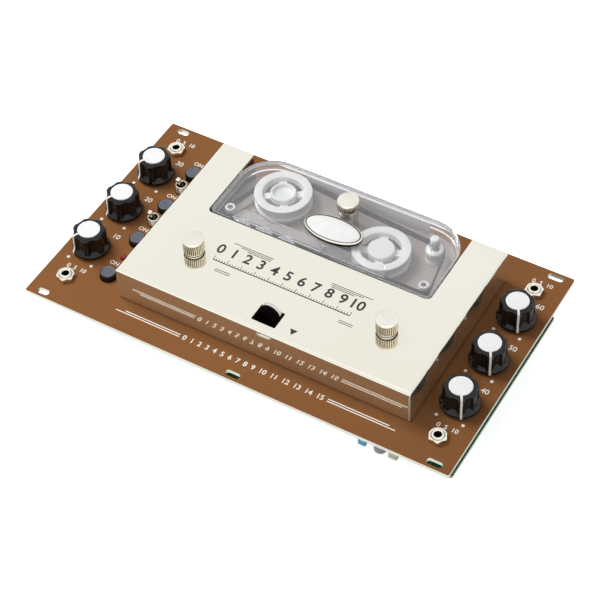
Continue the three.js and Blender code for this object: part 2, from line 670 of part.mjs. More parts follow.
function cassetteShell() {
  const rim = (z0, z1) => cut(
    extrude(cassetteOutline(0), z0, z1),
    extrude(cassetteOutline(cassette.wall), z0 - overrun, z1 + overrun),
  );
  const gateCut = block(
    gate.left, gate.right, -overrun, tapeInner + seat, cassette.bottom - overrun, lidUnder,
  );
  const low = floorTop - seat;
  const reelPins = [leftReel, rightReel].map(({ x, y }) => rod(
    reel.pin, low, reelRoof - seat, x, y, coarse,
  ));
  const guidePins = [-1, 1].map((side) => rod(
    guidePost.pin, low, lidUnder - seat, side * guidePost.x, guidePost.y, coarse,
  ));
  const underFloor = [cassette.bottom - overrun, floorTop + overrun];
  const base = cut(
    join(
      extrude(cassetteOutline(0), cassette.bottom, floorTop),
      rim(low, cassette.split), reelPins, guidePins,
    ),
    gateCut,
    rod(capstan.bushing + play, ...underFloor, 0, capstanPlace[1] - cassetteNear, coarse),
    rod(screw.shank + 2 * play, ...underFloor, 0, cassetteScrew.y, coarse),
  );
  add('cassette_base', clear, base, cassettePlace);
  // A low raised pad stands over the heads on the lid
  const padHalf = half(pad.width);
  const padShape = polygon([
    [pad.shift - padHalf - pad.slope, cassette.wall], [pad.shift + padHalf + pad.slope, cassette.wall],
    [pad.shift + padHalf, cassette.wall + pad.depth], [pad.shift - padHalf, cassette.wall + pad.depth],
  ]);
  const lidCut = [cassette.split, cassetteTop + overrun];
  const lid = cut(
    join(
      extrude(cassetteOutline(0), lidUnder, cassetteTop),
      rim(cassette.split + seat, lidUnder + seat),
      extrude(padShape, cassetteTop - seat, cassetteTop + pad.rise),
    ),
    gateCut,
    rod(cassetteScrew.shoulder + play, ...lidCut, 0, cassetteScrew.y),
    rod(tensionPost.knob + play, ...lidCut, tensionPost.x, tensionPost.y, coarse),
  );
  add('cassette_lid', clear, lid, cassettePlace);
}

// A reel: two flanges, a core, a round channel in its top face and windows through it
function reelSolid(dished) {
  const bottom = floorTop + seat;
  const low = tapeLow - seat;
  const high = tapeHigh + seat;
  const body = revolve([
    [0, bottom], [reel.flange, bottom], [reel.flange, low], [reel.core, low], [reel.core, high],
    [reel.flange, high], [reel.flange, reelTop], [0, reelTop],
  ], 0, 0, fine);
  const channelFloor = reelTop - reel.channelDepth;
  const bore = rod(reel.pin + play, bottom - overrun, reelRoof, 0, 0, coarse);
  const channel = ring(
    reel.channelOuter, reel.channelInner, channelFloor, reelTop + overrun, 0, 0, fine,
  );
  const inner = reel.channelInner + reel.windowLip;
  const outer = reel.channelOuter - reel.windowLip;
  const windows = steps(reel.windows).map((i) => {
    const start = ((2 * Math.PI) / reel.windows) * i;
    const end = start + (2 * Math.PI) / reel.windows;
    const shape = new THREE.Shape();
    shape.absarc(0, 0, outer, start + half(reel.spoke) / outer, end - half(reel.spoke) / outer);
    shape.absarc(0, 0, inner, end - half(reel.spoke) / inner, start + half(reel.spoke) / inner, true);
    return extrude(shape, bottom - overrun, reelTop + overrun);
  });
  const dish = dished ? [rod(reel.dish, channelFloor, reelTop + overrun, 0, 0, coarse)] : [];
  return cut(body, bore, channel, windows, dish);
}

function cassetteContents() {
  const low = floorTop + seat;
  const reelPlace = ({ x, y }) => [deckMiddle + x, cassetteNear + y, 0];
  add('reel_left', white, reelSolid(true), reelPlace(leftReel));
  add('reel_right', white, reelSolid(false), reelPlace(rightReel));
  const guide = ring(guidePost.radius, guidePost.pin + play, low, reelTop, 0, 0, plain);
  ['left', 'right'].forEach((name, i) => {
    const x = (2 * i - 1) * guidePost.x;
    add(`tape_guide_${name}`, white, guide, reelPlace({ x, y: guidePost.y }));
  });
  const { body, neck, knob: tip, bodyTop, knobHeight, top } = tensionPost;
  const bottle = revolve([
    [0, low], [body, low], [body, bodyTop - play], [body - play, bodyTop], [neck, bodyTop + play],
    [neck, top - knobHeight], [tip, top - knobHeight + play], [tip, top - play], [tip - play, top],
    [0, top],
  ], 0, 0, coarse);
  add('tension_post', white, bottle, reelPlace(tensionPost));
  // The tape is an endless loop round the guides, the post and the left reel
  const loop = band([
    { x: -guidePost.x, y: guidePost.y, radius: guidePost.radius },
    { x: guidePost.x, y: guidePost.y, radius: guidePost.radius },
    { x: tensionPost.x, y: tensionPost.y, radius: tensionPost.body },
    { x: leftReel.x, y: leftReel.y, radius: reel.core },
  ], seat, tape.thickness, tapeLow, tapeHigh);
  add('tape_loop', ferric, loop, cassettePlace);
  const linerFar = cassette.depth - cassette.wall - seat;
  const strip = block(liner.left, liner.right, linerFar - liner.thickness, linerFar, low, reelTop);
  add('liner_strip', white, strip, cassettePlace);
  const oval = (inset) => new THREE.Shape().absellipse(
    0, badge.y, badge.halfLength - inset, badge.halfWidth - inset, 0, 2 * Math.PI,
  );
  const foot = cassetteTop + seat;
  const plate = join(
    extrude(oval(0), foot, foot + badge.rise, half(plain)),
    extrude(oval(badge.rim), foot, foot + badge.rise + half(badge.crown), half(plain)),
    extrude(oval(2 * badge.rim), foot, foot + badge.rise + badge.crown, half(plain)),
  );
  add('cassette_badge', nickel, plate, cassettePlace);
}

// A plate that slides on two pins and carries the heads, the release lever and the arm
function headCarriage() {
  const plate = join(
    block(carriage.left, carriage.right, carriage.near, carriage.far, seat, carriageTop),
    block(
      -carriage.tongueHalf, carriage.tongueHalf, carriage.tongueNear, carriage.near + overrun,
      seat, carriageTop,
    ),
  );
  const slotHalf = guidePin.radius + play;
  const slots = [guidePin.left, guidePin.right].map((x) => extrude(roundedBox(
    x - slotHalf, x + slotHalf, guidePin.y - slotHalf, guidePin.y + carriage.travel + slotHalf, slotHalf,
  ), seat - overrun, carriageTop + overrun, smallArc));
  const post = revolve([
    [0, seat], [pinch.shoulder, seat], [pinch.shoulder, armLow - seat], [pinch.post, armLow - seat],
    [pinch.post, armHigh + seat], [0, armHigh + seat],
  ], pinch.pivotX, pinch.pivotY, coarse);
  add('head_carriage', steel, join(cut(plate, slots), post), deckPlace);
}

// The lever stands up through the cover's window and ends in a half round
function releaseLever() {
  const low = carriageTop + seat;
  const back = lever.face + lever.sheet;
  const tab = new THREE.Shape();
  tab.moveTo(-lever.halfWidth, low);
  tab.lineTo(lever.halfWidth, low);
  tab.absarc(0, cover.height, lever.halfWidth, 0, Math.PI);
  const foot = block(
    -lever.halfWidth, lever.halfWidth, lever.face, back + lever.footLength, low, low + lever.sheet,
  );
  add('release_lever', steel, join(foot, extrudeAlongY(tab, lever.face, back, wideArc)), deckPlace);
}

// Each head is square at the back and ends in a shallow round nose that meets the tape
function tapeHeads() {
  const nose = cassetteNear + tapeOuter - seat;
  const side = half(head.width);
  const radius = (side ** 2 + head.nose ** 2) / (2 * head.nose);
  const spread = Math.asin(side / radius);
  const can = new THREE.Shape();
  can.moveTo(-side, head.back);
  can.lineTo(side, head.back);
  can.absarc(0, nose - radius, radius, half(Math.PI) - spread, half(Math.PI) + spread);
  const low = carriageTop + seat;
  const bracketHalf = half(head.bracketWidth);
  const bracketFar = head.back + head.bracketSheet;
  const whole = join(
    extrude(can, head.bottom, head.top),
    block(-bracketHalf, bracketHalf, carriage.near + overrun, bracketFar, low, low + head.bracketSheet),
    block(-bracketHalf, bracketHalf, head.back, bracketFar, low, head.bottom + overrun),
  );
  ['erase_head', 'record_head', 'playback_head'].forEach((name, i) => {
    add(name, steel, whole, [deckMiddle + head.first + i * head.spacing, 0, 0]);
  });
}

function pinchRoller() {
  const low = tape.middle - half(pinch.height);
  const high = tape.middle + half(pinch.height);
  const arm = cut(
    extrude(tautOutline([
      { x: 0, y: rollerY, radius: pinch.armHalf },
      { x: pinch.pivotX, y: pinch.pivotY, radius: pinch.armHalf },
    ], 0), armLow, armHigh),
    rod(pinch.post + play, armLow - overrun, armHigh + overrun, pinch.pivotX, pinch.pivotY, coarse),
  );
  const pin = revolve([
    [0, armLow], [pinch.collar, armLow], [pinch.collar, low - seat], [pinch.pin, low - seat],
    [pinch.pin, high + seat], [0, high + seat],
  ], 0, rollerY, coarse);
  add('pinch_arm', steel, join(arm, pin), deckPlace);
  const roller = ring(pinch.radius, pinch.pin + play, low, high, 0, 0);
  add('pinch_roller', rubber, roller, [deckMiddle, rollerY, 0]);
}

// Motor, belt, flywheel and capstan
function driveTrain() {
  const bore = capstan.radius + play;
  const bearing = revolve([
    [bore, -capstan.bushingDrop], [capstan.bushing, -capstan.bushingDrop], [capstan.bushing, seat],
    [capstan.flange, seat], [capstan.flange, capstan.bushingRise], [bore, capstan.bushingRise],
    [bore, -capstan.bushingDrop],
  ]);
  add('capstan_bearing', brass, bearing, [...capstanPlace, 0]);
  const shaft = rod(capstan.radius, flywheelBottom - capstan.pivot, tapeHigh + capstan.radius, 0, 0, coarse);
  add('capstan', nickel, shaft, [...capstanPlace, 0]);
  const rimInner = flywheel.radius - flywheel.rim;
  const webLow = middle(flywheelBottom, flywheelTop) - half(flywheel.web);
  const webHigh = webLow + flywheel.web;
  const wheel = revolve([
    [bore, flywheelBottom], [flywheel.hub, flywheelBottom], [flywheel.hub, webLow], [rimInner, webLow],
    [rimInner, flywheelBottom], [flywheel.radius, flywheelBottom], [flywheel.radius, flywheelTop],
    [rimInner, flywheelTop], [rimInner, webHigh], [flywheel.hub, webHigh], [flywheel.hub, flywheelTop],
    [bore, flywheelTop], [bore, flywheelBottom],
  ], 0, 0, plain);
  add('flywheel', brass, wheel, [...capstanPlace, 0]);
  const beltHigh = beltLow + belt.width;
  const loop = band([
    { x: capstanPlace[0], y: capstanPlace[1], radius: flywheel.radius },
    { x: motorPlace[0], y: motorPlace[1], radius: pulley.radius },
  ].reverse(), seat, belt.thickness, beltLow, beltHigh);
  add('drive_belt', rubber, loop);
  const shaftTop = -panel.thickness - seat;
  const motorPulley = revolve([
    [0, beltLow - seat - pulley.flangeHeight], [pulley.flange, beltLow - seat - pulley.flangeHeight],
    [pulley.flange, beltLow - seat], [pulley.radius, beltLow - seat], [pulley.radius, beltHigh + seat],
    [pulley.flange, beltHigh + seat], [pulley.flange, beltHigh + seat + pulley.flangeHeight],
    [motor.shaft, beltHigh + seat + pulley.flangeHeight], [motor.shaft, shaftTop], [0, shaftTop],
  ], 0, 0, coarse);
  add('motor_pulley', brass, motorPulley, [...motorPlace, 0]);
  const top = seat + motor.height;
  const can = revolve([
    [0, -panel.thickness], [motor.boss, -panel.thickness], [motor.boss, seat],
    [motor.radius - motor.edge, seat], [motor.radius, seat + motor.edge],
    [motor.radius, top - motor.edge], [motor.radius - motor.edge, top], [0, top],
  ]);
  add('motor', steel, can, [...motorPlace, 0]);
}

// A folded bridge behind the board carries the flywheel's thrust bearing
function rearBridge() {
  const { near, far, sheet, flange } = bridge;
  const low = -bridge.drop;
  const high = boardBottom - seat;
  const section = polygon([
    [near - flange, high - sheet], [near, high - sheet], [near, low], [far, low],
    [far, high - sheet], [far + flange, high - sheet], [far + flange, high], [far - sheet, high],
    [far - sheet, low + sheet], [near + sheet, low + sheet], [near + sheet, high],
    [near - flange, high],
  ]);
  const top = flywheelBottom - seat;
  const cup = cut(
    rod(flywheel.hub, low + half(sheet), top, ...capstanPlace, coarse),
    rod(capstan.radius + play, flywheelBottom - capstan.pivot - seat, top + overrun, ...capstanPlace, coarse),
  );
  add('rear_bridge', steel, join(extrudeAlongX(section, bridge.left, bridge.right), cup));
}

frontPanel();
knobs();
potentiometers();
jacks();
buttons();
toggles();
statusLamp();
circuitBoard();
tapeCover();
screws();
cassetteWell();
cassetteShell();
cassetteContents();
headCarriage();
releaseLever();
tapeHeads();
pinchRoller();
driveTrain();
rearBridge();

export default unit;
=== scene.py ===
# Looks of the tape echo unit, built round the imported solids.
# Sizes are in millimetres in the panel's own frame (x right and y away from the panel's near
# left corner, z out of its face), and placed() turns them into the row frame in metres.

import math

import bmesh
import bpy
from mathutils import Matrix, Vector


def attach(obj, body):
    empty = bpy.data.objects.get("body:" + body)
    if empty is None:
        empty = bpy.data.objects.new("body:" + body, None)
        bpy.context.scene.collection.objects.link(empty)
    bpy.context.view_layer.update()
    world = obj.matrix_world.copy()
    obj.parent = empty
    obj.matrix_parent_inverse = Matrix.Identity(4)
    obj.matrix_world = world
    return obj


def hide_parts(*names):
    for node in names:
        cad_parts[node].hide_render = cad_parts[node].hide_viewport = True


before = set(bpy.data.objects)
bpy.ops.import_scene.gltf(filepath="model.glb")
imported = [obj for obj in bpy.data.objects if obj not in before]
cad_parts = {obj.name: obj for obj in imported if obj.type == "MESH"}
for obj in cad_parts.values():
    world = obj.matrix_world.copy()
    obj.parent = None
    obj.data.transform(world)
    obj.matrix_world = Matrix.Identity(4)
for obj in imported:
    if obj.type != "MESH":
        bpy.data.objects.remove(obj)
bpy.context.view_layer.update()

MM = 0.001
TAU = 2 * math.pi
QUARTER = math.pi / 2
SIDES = ("left", "right")

PANEL_W, PANEL_H, PANEL_T = 223.2, 128.5, 2.0
FOOT = 28.0  # from the floor to the panel's face
KNOB_X = (12.6, PANEL_W - 13.4)
KNOB_Y = (37.2, 65.4, 93.6)
JACK_Y = (15.8, PANEL_H - 16.2)
BUTTON_X = 30.0
BUTTON_Y = (25.9, 50.9, 75.9, 100.9)
TOGGLE_Y = (65.1, 90.1)
LAMP_Y = 39.0

DECK = PANEL_W / 2 + 6.85  # the middle of the cover and of the cartridge
CAPSTAN_Y = 76.5
COVER_TOP = 19.65
SCREW_X = (DECK - 50.6, DECK + 50.6)
SCREW_Y = 44.4

CASSETTE_NEAR = 69.9
CASSETTE_FLOOR = 9.7
CASSETTE_SCREW_Y = CASSETTE_NEAR + 29.9
REEL_LEFT = (DECK - 34.45, CASSETTE_NEAR + 28.1)
REEL_RIGHT = (DECK + 23.95, CASSETTE_NEAR + 18.3)
GUIDES = [(DECK + side * 51.6, CASSETTE_NEAR + 7.8) for side in (-1, 1)]
GUIDE_R = 2.45
POST = (DECK + 45.8, CASSETTE_NEAR + 29.6)

BOARD_UNDER, BOARD_TOP = -13.6, -12.0
GAP = 0.02  # keeps a piece off the face below it
INK = 0.03  # thickness of a print


def placed(p):
    return Vector(((p[0] - PANEL_W / 2) * MM, (p[1] - PANEL_H / 2) * MM, (p[2] + FOOT) * MM))


def linear(r, g, b, a=1.0):
    """An 8-bit screen colour as the numbers that a shader takes."""

    def one(v):
        v /= 255
        return v / 12.92 if v <= 0.04045 else ((v + 0.055) / 1.055) ** 2.4

    return (one(r), one(g), one(b), a)


# Materials


class Nodes:
    """Short ways to add and join the nodes of a tree."""

    def __init__(self, tree):
        self.tree = tree

    def feed(self, socket, value):
        """A socket takes another node's output or a plain value."""
        if isinstance(value, bpy.types.NodeSocket):
            self.tree.links.new(value, socket)
        else:
            socket.default_value = value

    def node(self, kind, inputs=None, **props):
        made = self.tree.nodes.new("ShaderNode" + kind)
        for key, value in props.items():
            setattr(made, key, value)
        for key, value in (inputs or {}).items():
            self.feed(made.inputs[key], value)
        return made

    def calc(self, operation, *values):
        return self.node("Math", dict(enumerate(values)), operation=operation).outputs[0]

    def remap(self, value, low, high, a=0.3, b=0.7):
        """Carries the range a to b over to low to high."""
        ends = {"From Min": a, "From Max": b, "To Min": low, "To Max": high}
        return self.node("MapRange", {"Value": value, **ends}).outputs["Result"]

    def mix(self, factor, a, b):
        return self.node("Mix", {0: factor, 6: a, 7: b}, data_type="RGBA").outputs[2]

    def blend(self, factor, a, b):
        """One shader for another, by a factor."""
        return self.node("MixShader", {0: factor, 1: a.outputs[0], 2: b.outputs[0]}).outputs[0]


class Look(Nodes):
    """A node material round one Principled shader.

    tint has the other colour that the base drifts to, wear the roughness's two ends and bump
    the relief's scale and depth, each with the rest of what noise() takes. through is the tone
    of the light that lamps send through a clear plastic to what lies behind it.
    """

    def __init__(
        self, name, color, rough, metal=0.0, tint=(), wear=(), bump=(), through=(), **sockets
    ):
        self.mat = bpy.data.materials.new(name)
        self.mat.use_nodes = True
        super().__init__(self.mat.node_tree)
        self.bsdf = self.tree.nodes["Principled BSDF"]
        self.color = linear(*color)
        self.set(Base_Color=self.color, Roughness=rough, Metallic=metal, **sockets)
        self.coords = self.node("TexCoord").outputs["Object"]
        if tint:
            other, *grain = tint
            self.set(Base_Color=self.mix(self.drift(0, 1, *grain), self.color, linear(*other)))
        if wear:
            self.set(Roughness=self.drift(*wear))
        if bump:
            scale, depth, *grain = bump
            self.emboss(self.noise(scale, *(grain or [2])), depth)
        if through:
            self.lets_light_through(through)

    def set(self, **sockets):
        for key, value in sockets.items():
            self.feed(self.bsdf.inputs[key.replace("_", " ")], value)
        return self

    def noise(self, scale, detail=3, stretch=None):
        where = self.coords
        if stretch:
            where = self.node("Mapping", {"Vector": where, "Scale": stretch}).outputs[0]
        inputs = {"Vector": where, "Scale": scale, "Detail": detail}
        return self.node("TexNoise", inputs).outputs["Fac"]

    def drift(self, low, high, *grain):
        return self.remap(self.noise(*grain), low, high)

    def emboss(self, height, depth):
        relief = self.node("Bump", {"Distance": depth * MM, "Height": height})
        return self.set(Normal=relief.outputs["Normal"])

    def facing(self, axis):
        """How far a face looks along an axis."""
        normal = self.node("NewGeometry").outputs["True Normal"]
        return self.node("SeparateXYZ", {0: normal}).outputs[axis]

    def flat_faces(self):
        """One on a sheet's face and back, nought on its cut edges."""
        return self.remap(self.calc("ABSOLUTE", self.facing("Z")), 0, 1, 0.55, 0.65)

    def lets_light_through(self, tone):
        path = self.node("LightPath").outputs
        either = self.calc("MAXIMUM", path["Is Shadow Ray"], path["Is Diffuse Ray"])
        clear = self.node("BsdfTransparent", {"Color": tone})
        surface = self.tree.nodes["Material Output"].inputs["Surface"]
        self.feed(surface, self.blend(either, self.bsdf, clear))


def panel_look():
    """Brown anodised face and back over bare aluminium, which shows on every cut edge."""
    look = Look("anodised_brown", (146, 99, 60), 0.42, Specular_IOR_Level=0.05)
    face = look.flat_faces()
    brown = look.mix(look.drift(0, 1, 14, 2), look.color, linear(137, 92, 56))
    speck = look.remap(look.noise(2600, 1), 0, 0.5, 0.45, 0.75)
    brown = look.mix(speck, brown, linear(120, 78, 46))
    look.set(
        Base_Color=look.mix(face, linear(228, 227, 216), brown),
        Metallic=look.remap(face, 0.9, 0.0, 0, 1),
        Roughness=look.drift(0.36, 0.46, 60),
    )
    return look.emboss(look.noise(3200, 2), 0.012)


def board_look():
    """Green solder mask over copper runs, with a pale laminate on the cut edge."""
    look = Look("board_green", (46, 152, 100), 0.3, Coat_Weight=0.2)
    sizes = {"Scale": 90, "Mortar Size": 0.035, "Brick Width": 1.6, "Row Height": 0.42}
    brick = look.node("TexBrick", {"Vector": look.coords, **sizes}, offset=0.5, squash=1.0)
    patch = look.remap(look.noise(45, 1), 0, 1, 0.42, 0.5)
    runs = look.calc("MULTIPLY", brick.outputs["Fac"], patch)
    mask = look.mix(look.drift(0, 1, 30), look.color, linear(32, 122, 78))
    top = look.mix(runs, mask, linear(66, 168, 112))
    look.set(Base_Color=look.mix(look.flat_faces(), linear(186, 196, 160), top))
    return look.emboss(runs, 0.04)


def lever_look():
    """Faces towards the near side are painted black as shade; the other faces are bright polished
    steel.
    """
    look = Look("lever_steel", (20, 20, 21), 0.28)
    # Faces that look towards the near side get painted shade: black and not metallic
    near = look.remap(look.facing("Y"), 1, 0, -0.9, -0.8)
    bright = look.mix(look.drift(0, 1, 900), linear(226, 224, 216), linear(206, 203, 194))
    return look.set(
        Base_Color=look.mix(near, bright, look.color),
        Metallic=look.remap(near, 1, 0, 0, 1),
        Roughness=look.drift(0.14, 0.3, 400),
    )


LOOKS = {
    "panel": panel_look(),
    "board": board_look(),
    "lever": lever_look(),
    # Metals
    "cover": Look(
        "polished_steel", (240, 238, 226), 0.05, 0.92, tint=((236, 233, 220), 9, 2),
        wear=(0.045, 0.1, 40)),
    "nickel": Look(
        "bright_nickel", (246, 243, 234), 0.13, 1.0, tint=((236, 231, 218), 300, 2),
        wear=(0.09, 0.18, 300, 2)),
    "brass_nickel": Look(
        "warm_nickel", (242, 240, 232), 0.14, 1.0, tint=((235, 230, 218), 120, 2),
        wear=(0.1, 0.18, 300, 2)),
    "turned": Look(
        "turned_steel", (200, 201, 203), 0.25, 1.0, Anisotropic=0.4, tint=((176, 178, 182), 60),
        wear=(0.18, 0.34, 500)),
    "zinc": Look(
        "plated_steel", (178, 180, 184), 0.32, 1.0, tint=((150, 153, 158), 120, 4),
        wear=(0.24, 0.42, 300), bump=(900, 0.01)),
    "brass": Look(
        "turned_brass", (205, 172, 102), 0.25, 1.0, tint=((184, 148, 82), 150),
        wear=(0.18, 0.34, 500)),
    "ridge": Look(
        "knurl_ridge", (238, 228, 206), 0.16, 1.0, tint=((222, 210, 186), 300, 2),
        wear=(0.12, 0.2, 300, 2)),
    # Dark tan painted shade for knurl valleys, the thumb screws' undersides and the toggle
    # bushings' bores
    "painted_shade": Look(
        "knurl_painted_shade", (102, 86, 60), 0.3, 1.0, tint=((78, 64, 44), 300), bump=(900, 0.01)),
    "cut_edge": Look(
        "cut_edge", (214, 206, 188), 0.45, 0.5, tint=((198, 188, 168), 200),
        bump=(1800, 0.01, 2, (1, 1, 8))),
    # A painted dark reflection for the badge rim
    "dark_edge": Look(
        "dark_reflection", (58, 54, 50), 0.2, 0.8, tint=((38, 36, 34), 200, 2),
        wear=(0.16, 0.28, 300, 2)),
    "gold": Look("pin_gold", (214, 178, 96), 0.25, 1.0, tint=((196, 158, 80), 500)),
    "solder": Look(
        "solder", (196, 198, 202), 0.3, 1.0, tint=((168, 170, 176), 800), bump=(1500, 0.03)),
    # Mouldings and inks
    "black": Look(
        "moulded_black", (12, 12, 14), 0.26, Specular_IOR_Level=0.36, tint=((16, 16, 19), 60, 2),
        wear=(0.2, 0.3, 60, 2), bump=(160, 0.004)),
    "matt_black": Look(
        "matt_black", (14, 14, 15), 0.45, Specular_IOR_Level=0.3, tint=((20, 20, 22), 500),
        bump=(1800, 0.012)),
    "slate_rim": Look(
        "button_rim", (150, 153, 162), 0.3, tint=((136, 140, 150), 500), bump=(2000, 0.006)),
    "slate": Look(
        "button_slate", (100, 103, 114), 0.35, tint=((86, 90, 101), 500), wear=(0.28, 0.42, 600),
        bump=(2000, 0.008)),
    "white_gloss": Look(
        "cap_white", (250, 250, 249), 0.22, Coat_Weight=0.3, tint=((244, 244, 243), 300, 2),
        bump=(1200, 0.004)),
    "ink_white": Look(
        "ink_white", (252, 248, 240), 0.5, tint=((246, 240, 230), 1500), bump=(2500, 0.01)),
    "ink_black": Look("ink_black", (38, 37, 38), 0.4, tint=((52, 50, 50), 1500), bump=(2500, 0.01)),
    "reel": Look(
        "reel_white", (240, 240, 237), 0.3, Subsurface_Weight=0.15, Subsurface_Scale=0.002,
        tint=((231, 232, 230), 90, 2), bump=(700, 0.008)),
    "tape": Look(
        "tape_film", (104, 99, 99), 0.3, Specular_IOR_Level=0.3,
        tint=((86, 82, 83), 40, 2, (1, 1, 40)), wear=(0.22, 0.36, 200)),
    "rubber": Look(
        "black_rubber", (26, 26, 27), 0.7, tint=((38, 38, 39), 300, 4), bump=(1400, 0.02)),
    "blue": Look("film_blue", (110, 190, 232), 0.3, tint=((96, 176, 220), 200), bump=(900, 0.02)),
    "cream": Look("can_cream", (222, 214, 190), 0.3, tint=((208, 198, 172), 200), bump=(900, 0.01)),
    "sleeve": Look(
        "can_sleeve", (168, 170, 174), 0.3, tint=((150, 152, 158), 200), bump=(700, 0.01)),
    # Plastics that light passes
    "milky": Look(
        "post_white", (250, 251, 252), 0.14, Subsurface_Weight=0.2, Subsurface_Scale=0.002,
        Transmission_Weight=0.12, tint=((240, 242, 244), 200, 2), through=(0.85, 0.85, 0.86, 1)),
    "liner": Look(
        "liner_frost", (253, 253, 254), 0.5, Transmission_Weight=0.15,
        tint=((242, 242, 246), 160, 4), bump=(260, 0.05), through=(0.9, 0.9, 0.91, 1)),
    # The tray floor's grey is painted shade and reflection of what lies under the clear floor
    "tray_floor_shade": Look(
        "tray_plastic", (186, 178, 172), 0.1, Transmission_Weight=0.2, Specular_IOR_Level=0.3,
        tint=((164, 158, 154), 24, 2), bump=(40, 0.02, 1), through=(0.8, 0.78, 0.8, 1)),
    "clear": Look(
        "clear_plastic", (253, 253, 254), 0.03, Transmission_Weight=0.95, IOR=1.25,
        Specular_IOR_Level=1.0, Coat_Weight=0.6, tint=((249, 249, 252), 30, 2), bump=(22, 0.006, 1),
        through=(0.98, 0.98, 0.98, 1)),
    "red": Look(
        "lamp_red", (166, 18, 15), 0.12, Transmission_Weight=0.3, Coat_Weight=0.5,
        tint=((160, 12, 12), 300, 2)),
}
MAT = {key: look.mat for key, look in LOOKS.items()}


# Geometry helpers


def arc(cx, cy, r, a0, a1, n=10):
    angles = [a0 + (a1 - a0) * i / n for i in range(n + 1)]
    return [(cx + r * math.cos(a), cy + r * math.sin(a)) for a in angles]


def circle(cx, cy, r, n=64):
    return [(cx + r * math.cos(TAU * i / n), cy + r * math.sin(TAU * i / n)) for i in range(n)]


def ring(cx, cy, r, z, n):
    return [(*p, z) for p in circle(cx, cy, r, n)]


def shaped_ring(radii, z):
    """A ring round the axis with a radius of its own at each point."""
    turns = [TAU * i / len(radii) for i in range(len(radii))]
    return [(r * math.cos(a), r * math.sin(a), z) for r, a in zip(radii, turns)]


def rounded_box(x0, x1, y0, y1, radii, n=10):
    """Corner radii run near left, near right, far right, far left."""
    r = [radii] * 4 if isinstance(radii, (int, float)) else radii
    return (
        arc(x0 + r[0], y0 + r[0], r[0], 2 * QUARTER, 3 * QUARTER, n)
        + arc(x1 - r[1], y0 + r[1], r[1], 3 * QUARTER, 4 * QUARTER, n)
        + arc(x1 - r[2], y1 - r[2], r[2], 0, QUARTER, n)
        + arc(x0 + r[3], y1 - r[3], r[3], QUARTER, 2 * QUARTER, n)
    )


def box_round(x, y, half_x, half_y, radius, n=4):
    """A rounded box by its middle and its half sizes."""
    return rounded_box(x - half_x, x + half_x, y - half_y, y + half_y, radius, n)


def softened(points, steps=3):
    """Rounds the corners of an open profile: each point is (a, b) or (a, b, radius)."""
    out = []
    for i, p in enumerate(points):
        r = p[2] if len(p) > 2 else 0
        if r <= 0 or i in (0, len(points) - 1):
            out.append((p[0], p[1]))
            continue
        here = Vector(p[:2])
        back, on = Vector(points[i - 1][:2]) - here, Vector(points[i + 1][:2]) - here
        size = min(r, back.length * 0.49, on.length * 0.49)
        a, b = here + back.normalized() * size, here + on.normalized() * size
        for k in range(steps + 1):
            t = k / steps
            q = a * (1 - t) ** 2 + here * (2 * t * (1 - t)) + b * t**2
            out.append((q.x, q.y))
    return out


class Shape:
    """Points and faces that several helpers add to before they become one mesh."""

    def __init__(self):
        self.verts, self.faces, self.slots = [], [], []

    def add(self, verts, faces, slot=0):
        base = len(self.verts)
        self.verts += verts
        self.faces += [tuple(base + i for i in f) for f in faces]
        self.slots += [slot] * len(faces)
        return self

    def lathe(self, profile, x=0.0, y=0.0, n=64, slot=0, closed=False):
        """Turns (radius, height) points, softened, round an upright axis."""
        verts, rows = [], []
        for r, z in softened(profile):
            made = [(x, y, z)] if r < 1e-6 else ring(x, y, r, z, n)
            rows.append(range(len(verts), len(verts) + len(made)))
            verts += made
        faces = []
        pairs = list(zip(rows, rows[1:]))
        if closed:
            pairs.append((rows[-1], rows[0]))
        for a, b in pairs:
            for i in range(n):
                j = (i + 1) % n
                corners = (a[i % len(a)], a[j % len(a)], b[j % len(b)], b[i % len(b)])
                face = tuple(dict.fromkeys(corners))
                if len(face) > 2:
                    faces.append(face)
        return self.add(verts, faces, slot)

    def skin(self, rows, caps=True):
        """Joins closed rows of equally many points, the lowest first."""
        n = len(rows[0])
        verts = [p for row in rows for p in row]
        faces = [
            (k * n + i, k * n + (i + 1) % n, (k + 1) * n + (i + 1) % n, (k + 1) * n + i)
            for k in range(len(rows) - 1)
            for i in range(n)
        ]
        if caps:
            faces.append(tuple(reversed(range(n))))
            faces.append(tuple(range((len(rows) - 1) * n, len(rows) * n)))
        return self.add(verts, faces)

    def slab(self, loops, z0, z1, slot=0):
        """An upright prism on an outline, with any further loops as holes."""
        bm = bmesh.new()
        edges = []
        for loop in loops:
            points = [bm.verts.new((x, y, z1)) for x, y in loop]
            edges += [bm.edges.new(pair) for pair in zip(points, points[1:] + points[:1])]
        if len(loops) == 1:
            bm.faces.new(bm.verts[:])
        else:
            bmesh.ops.triangle_fill(bm, use_beauty=True, edges=edges)
        made = bmesh.ops.extrude_face_region(bm, geom=bm.faces[:])
        for v in made["geom"]:
            if isinstance(v, bmesh.types.BMVert):
                v.co.z = z0
        bmesh.ops.recalc_face_normals(bm, faces=bm.faces[:])
        bm.verts.index_update()
        verts = [tuple(v.co) for v in bm.verts]
        faces = [tuple(v.index for v in f.verts) for f in bm.faces]
        bm.free()
        return self.add(verts, faces, slot)

    def box(self, x0, x1, y0, y1, z0, z1):
        return self.slab([[(x0, y0), (x1, y0), (x1, y1), (x0, y1)]], z0, z1)

    def moved(self, f):
        self.verts = [f(v) for v in self.verts]
        return self


def turned(x, y, degrees):
    """A move that turns a shape built round the axis and sets it at a place."""
    c, s = math.cos(math.radians(degrees)), math.sin(math.radians(degrees))
    return lambda v: (x + c * v[0] - s * v[1], y + s * v[0] + c * v[1], v[2])


def new_object(name, data):
    obj = bpy.data.objects.new(name, data)
    bpy.context.collection.objects.link(obj)
    return obj


